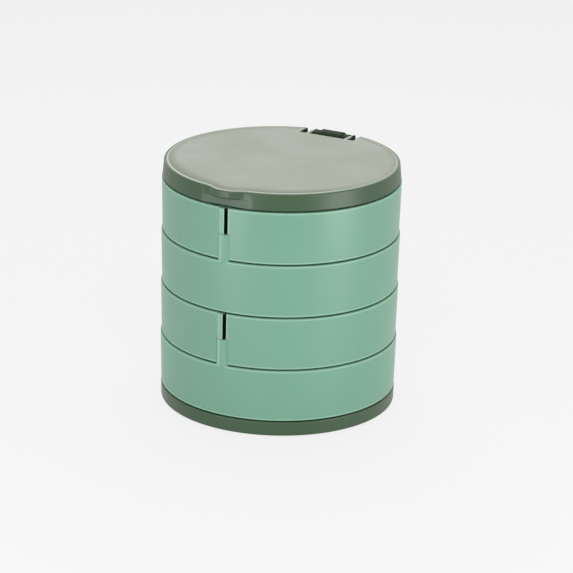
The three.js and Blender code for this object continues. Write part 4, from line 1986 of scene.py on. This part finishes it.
    def arm(self, side: int) -> Piece:
        """An arm that holds one end of the hinge pin, with a horn that meets the bracket's stop.

        Args:
            side: 1 on the right, -1 on the left.

        Returns:
            The arm as a loose solid.
        """
        y, z = self.stack.hinge_axis
        over, top = Bench.OVER, self.band_top
        inner, outer = self.hinge.arm_inner, self.hinge.arm_outer
        left, right = (inner, outer) if side > 0 else (-outer, -inner)
        arm = Bench.block("arm", (left, self.notch_inner - over, z - self.arm_radius), (right, y, top))
        eye = Bench.bar("eye", self.arm_radius, right - left, (0, y, z))
        Bench.move(eye, ((left + right) / 2, 0, 0))
        Bench.meet(arm, eye, Joining.ADD)
        horn = Bench.block("horn", (left, y - self.horn_overlap, z), (right, y + self.horn_reach, top))
        with Bench.editing():
            Bench.pick(Element.CORNER, lambda p: p.y > y + over and p.z < z + Bench.NEAR)
            bpy.ops.transform.translate(value=(0, self.arm_radius - self.horn_reach, 0))
            Bench.pick(Element.CORNER, lambda p: p.y > y + over and p.z > top - Bench.NEAR)
            bpy.ops.transform.translate(value=(0, -self.horn_draft, 0))
        return Bench.meet(arm, horn, Joining.ADD)

    def shell(self) -> None:
        """The band and plate in one, with its lip, scoop, notch and arms."""
        low, top, over = self.low, self.top, Bench.OVER
        rounding, tip = self.stack.edge_round, self.edge_round
        inner = self.band_radius - self.wall
        ceiling = self.band_top - self.plate
        profile = [
            (inner - self.fillet, ceiling),
            (inner, ceiling - self.fillet),
            (inner, low + self.rim_chamfer),
            (inner + self.rim_chamfer, low),
            *arc((self.band_radius - rounding, low + rounding), rounding, -90, 0, 5),
            *arc((self.band_radius - self.draft - tip, top - tip), tip, 0, 90, 5),
        ]
        shell = Bench.turned("lid_band", profile)
        Bench.meet(shell, self.scoop(), Joining.CUT)
        lip = self.lipped_disc("lip", self.lip_root, self.lip_foot, top, tip, self.lip_underside_round)
        hole = Bench.post("lip_hole", inner + self.lip_overlap, low, top + over, sides=Bench.ROUND_SIDES)
        Bench.meet(lip, hole, Joining.CUT)
        Bench.meet(shell, lip, Joining.ADD)
        half, start = self.notch_half + self.notch_wall, self.notch_inner - self.notch_wall
        surround = Bench.block(
            "surround", (-half, start, low + self.surround_inset),
            (half, self.stack.radius, self.band_top - self.surround_inset),
        )
        skin = self.band_radius - self.draft - self.surround_skin
        drum = Bench.post("drum", skin, low, top, sides=Bench.ROUND_SIDES)
        Bench.meet(shell, Bench.meet(surround, drum, Joining.KEEP_COMMON), Joining.ADD)
        Bench.meet(shell, self.notch(low - over, top + over), Joining.CUT)
        for side in (1, -1):
            Bench.meet(shell, self.arm(side), Joining.ADD)
        bore_half = self.hinge.arm_outer + over
        bore_radius = self.hinge.pin_radius + self.bore_clearance
        bore = Bench.bar("bore", bore_radius, 2 * bore_half, (0, *self.stack.hinge_axis))
        Bench.meet(shell, bore, Joining.CUT)
        Bench.flatten(shell)
        Bench.soften(shell, self.edge_soft, 3)
        seat = self.band_top - self.seat_gap
        recess = self.slab("recess", self.panel_rim, seat, top + over)
        self.add_ears(recess, seat, top + over, self.panel_gap)
        Bench.meet(shell, recess, Joining.CUT)
        Bench.smooth(shell)
        # The band's finish paints a highlight on the top rim and shade in the notch and under the lip.
        finish = replace(
            self.finishes.lid_sage, top=top, notch_half=self.notch_half, notch_inner=self.notch_inner,
            lip_foot=self.lip_foot, band_radius=self.band_radius,
        )
        finish_piece(shell, finish, Body.LID, "lid_shell")

    def panel(self) -> None:
        """The thin light top panel, let in flush, with two ears that run out over the arms."""
        top = self.top
        margin = self.panel_rim + self.panel_gap
        panel = self.slab("lid_face", margin, self.band_top, top)
        self.add_ears(panel, self.band_top, top)
        Bench.flatten(panel)
        with Bench.editing():
            Bench.round_edges(lambda p: abs(p.z - top) < Bench.NEAR, self.panel_soft, 2)
        bead = margin + self.edge_width + self.bead_width
        sunk = self.slab("sunk", bead, top - self.sunk_depth, top + Bench.OVER)
        Bench.meet(panel, sunk, Joining.CUT)
        Bench.smooth(panel)
        # The panel's finish paints shade along the border and the outer edge, and a highlight on the bead.
        finish = replace(
            self.finishes.grey, top=top, bead_radius=self.lip_root - bead, bead_width=self.bead_width,
            painted_shade_width=self.painted_shade_width, lip_proud=self.lip_proud, lip_half=self.lip_half,
            lip_flat=self.lip_half * self.lip_flat_share,
        )
        finish_piece(panel, finish, Body.LID, "lid_top_panel")

    def mirror(self) -> None:
        """The round mirror with a ground edge."""
        low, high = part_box("lid_mirror")
        radius, grind = high.x, self.mirror_grind
        profile = [
            (radius - grind, low.z), (radius, low.z + grind),
            (radius, high.z - grind), (radius - grind, high.z),
        ]
        mirror = Bench.turned("mirror_disc", profile)
        Bench.soften(mirror, 0.0)
        finish_piece(mirror, self.finishes.mirror, Body.LID, "lid_mirror")

    def bezel(self) -> None:
        """The ring that clips over the mirror's edge."""
        low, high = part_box("mirror_bezel")
        mirror_low, mirror_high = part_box("lid_mirror")
        outer, roll = high.x, self.ring_roll
        seat = mirror_high.x + self.ring_seat
        opening = mirror_high.x - self.ring_overlap
        lip_top = mirror_low.z - self.ring_gap
        first = (opening + self.ring_chamfer, lip_top)
        profile = [
            first, (opening, lip_top - self.ring_chamfer), (opening, low.z + self.ring_foot),
            (opening + self.ring_foot, low.z),
            *arc((outer - roll, low.z + roll), roll, -90, 0, 4),
            (outer, high.z), (seat, high.z), (seat, lip_top), first,
        ]
        ring = Bench.turned("mirror_ring", profile, kind=Element.EDGE)
        Bench.soften(ring, self.ring_soft, 1)
        finish_piece(ring, self.finishes.sage, Body.LID, "mirror_bezel")


@dataclass(frozen=True)
class Softbox:
    """One studio lamp with a square face."""

    name: str
    azimuth: float
    elevation: float
    distance: float
    width: float
    height: float
    power: float


@dataclass
class Studio:
    """The floor, the lamps and the camera."""

    azimuth: float = 27.5
    eye: tuple[float, float, float] = (mm(3.38), mm(-1292.1), mm(511.1))
    aim: tuple[float, float, float] = (mm(3.38), 0.0, mm(55.56))
    roll: float = 1.31
    lens: float = 177.2
    sensor: float = 36.0
    clip: tuple[float, float] = (0.05, 50.0)
    backdrop: float = 0.905
    floor_size: float = 24.0
    floor_tone: float = 0.86
    floor_glow: float = 0.954
    floor_share: float = 0.85
    floor_drop: float = mm(0.02)
    world: float = 0.3
    lamp_aim: float = mm(60)
    lamps: tuple[Softbox, ...] = (
        Softbox("left_softbox", -42, 7, 0.41, 0.13, 0.1, 0.366),
        Softbox("right_softbox", 53, 7, 0.41, 0.2, 0.1, 0.504),
        Softbox("front_softbox", 0, 40, 0.9, 0.5, 0.5, 1.945),
        Softbox("back_softbox", 180, 70, 0.9, 0.6, 0.6, 3.028),
    )

    def build(self) -> None:
        """Makes the studio."""
        self.camera()
        self.floor()
        self.sky()
        for lamp in self.lamps:
            self.lamp(lamp)

    def turned(self, place: Iterable[float]) -> Vector:
        """A place seen from the front, turned to the photograph's azimuth.

        Args:
            place: The place.

        Returns:
            The turned place.
        """
        x, y, z = place
        cosine, sine = math.cos(math.radians(self.azimuth)), math.sin(math.radians(self.azimuth))
        return Vector((x * cosine - y * sine, x * sine + y * cosine, z))

    def camera(self) -> None:
        """The camera at the photograph's angle, leaning a little as the photograph does."""
        data = bpy.data.cameras.new("studio_camera")
        data.lens = self.lens
        data.sensor_width = self.sensor
        data.clip_start, data.clip_end = self.clip
        camera = bpy.data.objects.new("studio_camera", data)
        bpy.context.scene.collection.objects.link(camera)
        eye, aim = self.turned(self.eye), self.turned(self.aim)
        look = (aim - eye).to_track_quat("-Z", "Y")
        camera.rotation_mode = "QUATERNION"
        camera.location = eye
        camera.rotation_quaternion = look @ Quaternion((0, 0, 1), math.radians(self.roll))
        bpy.context.scene.camera = camera

    def seen_directly(self, board: NodeBoard) -> Socket:
        """One where a ray comes from the camera, a gloss or a clear piece, else zero.

        Args:
            board: The node tree that the test goes into.

        Returns:
            The socket with the answer.
        """
        rays = board.node("ShaderNodeLightPath").outputs
        return board.any_of(rays["Is Camera Ray"], rays["Is Glossy Ray"], rays["Is Transmission Ray"])

    def floor(self) -> None:
        """A wide pale floor that shows evenly and still takes a soft shadow."""
        Bench.clear()
        bpy.ops.mesh.primitive_plane_add(size=self.floor_size, location=(0, 0, -self.floor_drop))
        floor = Bench.settle("studio_floor")
        material = bpy.data.materials.new("studio_paper")
        board = NodeBoard.fresh(material)
        matte = board.node("ShaderNodeBsdfDiffuse")
        matte.inputs["Color"].default_value = (self.floor_tone, self.floor_tone, self.floor_tone, 1)
        glow = board.node("ShaderNodeEmission")
        glow.inputs["Color"].default_value = (self.floor_glow, self.floor_glow, self.floor_glow, 1)
        mix = board.node("ShaderNodeMixShader")
        share = board.sum_of("MULTIPLY", self.seen_directly(board), self.floor_share)
        for start, end in zip((share, matte.outputs[0], glow.outputs[0]), mix.inputs):
            board.wire(start, end)
        board.close("ShaderNodeOutputMaterial", mix.outputs[0])
        floor.data.materials.append(material)

    def sky(self) -> None:
        """Even light from all round, and the same pale tone where it is seen."""
        world = bpy.data.worlds.new("studio_world")
        bpy.context.scene.world = world
        board = NodeBoard.fresh(world)
        strength = board.node("ShaderNodeMapRange")
        strength.inputs["To Min"].default_value = self.world
        strength.inputs["To Max"].default_value = self.backdrop
        board.wire(self.seen_directly(board), strength.inputs["Value"])
        glow = board.node("ShaderNodeBackground")
        glow.inputs["Color"].default_value = (1, 1, 1, 1)
        board.wire(strength.outputs["Result"], glow.inputs["Strength"])
        board.close("ShaderNodeOutputWorld", glow.outputs[0])
        bpy.context.scene.view_settings.view_transform = "Standard"

    def lamp(self, lamp: Softbox) -> None:
        """One softbox, placed by its direction from the camera's side.

        Args:
            lamp: The softbox.
        """
        azimuth, elevation = math.radians(lamp.azimuth), math.radians(lamp.elevation)
        across = math.cos(elevation)
        place = self.turned((
            lamp.distance * math.sin(azimuth) * across,
            -lamp.distance * math.cos(azimuth) * across,
            lamp.distance * math.sin(elevation),
        ))
        data = bpy.data.lights.new(lamp.name, "AREA")
        data.shape = "RECTANGLE"
        data.size, data.size_y = lamp.width, lamp.height
        data.energy = lamp.power
        light = bpy.data.objects.new(lamp.name, data)
        bpy.context.scene.collection.objects.link(light)
        light.visible_camera = False
        light.location = place
        light.rotation_euler = (Vector((0, 0, self.lamp_aim)) - place).to_track_quat("-Z", "Y").to_euler()


def build_trays(stack: Stack, finishes: Finishes) -> None:
    """Makes the four trays, each turned half round to the one below it.

    Args:
        stack: The sizes that they share.
        finishes: The finishes on the box.
    """
    full_across = (Along.ACROSS, -1.0, 1.0)
    full_deep = (Along.FRONT_TO_BACK, -1.0, 1.0)
    half_deep = (Along.FRONT_TO_BACK, 0.0, 1.0)
    Tray(stack, finishes, 4, Body.BOTTOM, -1, False, True, (full_deep,)).build()
    Tray(stack, finishes, 3, Body.THIRD, 1, True, True, (full_across, half_deep)).build()
    Tray(stack, finishes, 2, Body.SECOND, -1, True, True, (full_across, full_deep)).build()
    TopTray(stack, finishes, 1, Body.TOP, 1, True, False, (full_across,)).build()


def main() -> None:
    """Builds the studio and the box, piece by piece."""
    logging.basicConfig(level=logging.INFO, format="%(name)s: %(message)s")
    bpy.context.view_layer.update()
    finishes = Finishes()
    stack = Stack()
    hinge = Hinge(stack, finishes)
    Studio().build()
    Base(stack, finishes).build()
    build_trays(stack, finishes)
    PivotPins(stack, finishes).build()
    RingHolder(finishes).build()
    hinge.build()
    Lid(stack, finishes, hinge).build()
    Bench.clear()


if __name__ == "__main__":
    main()
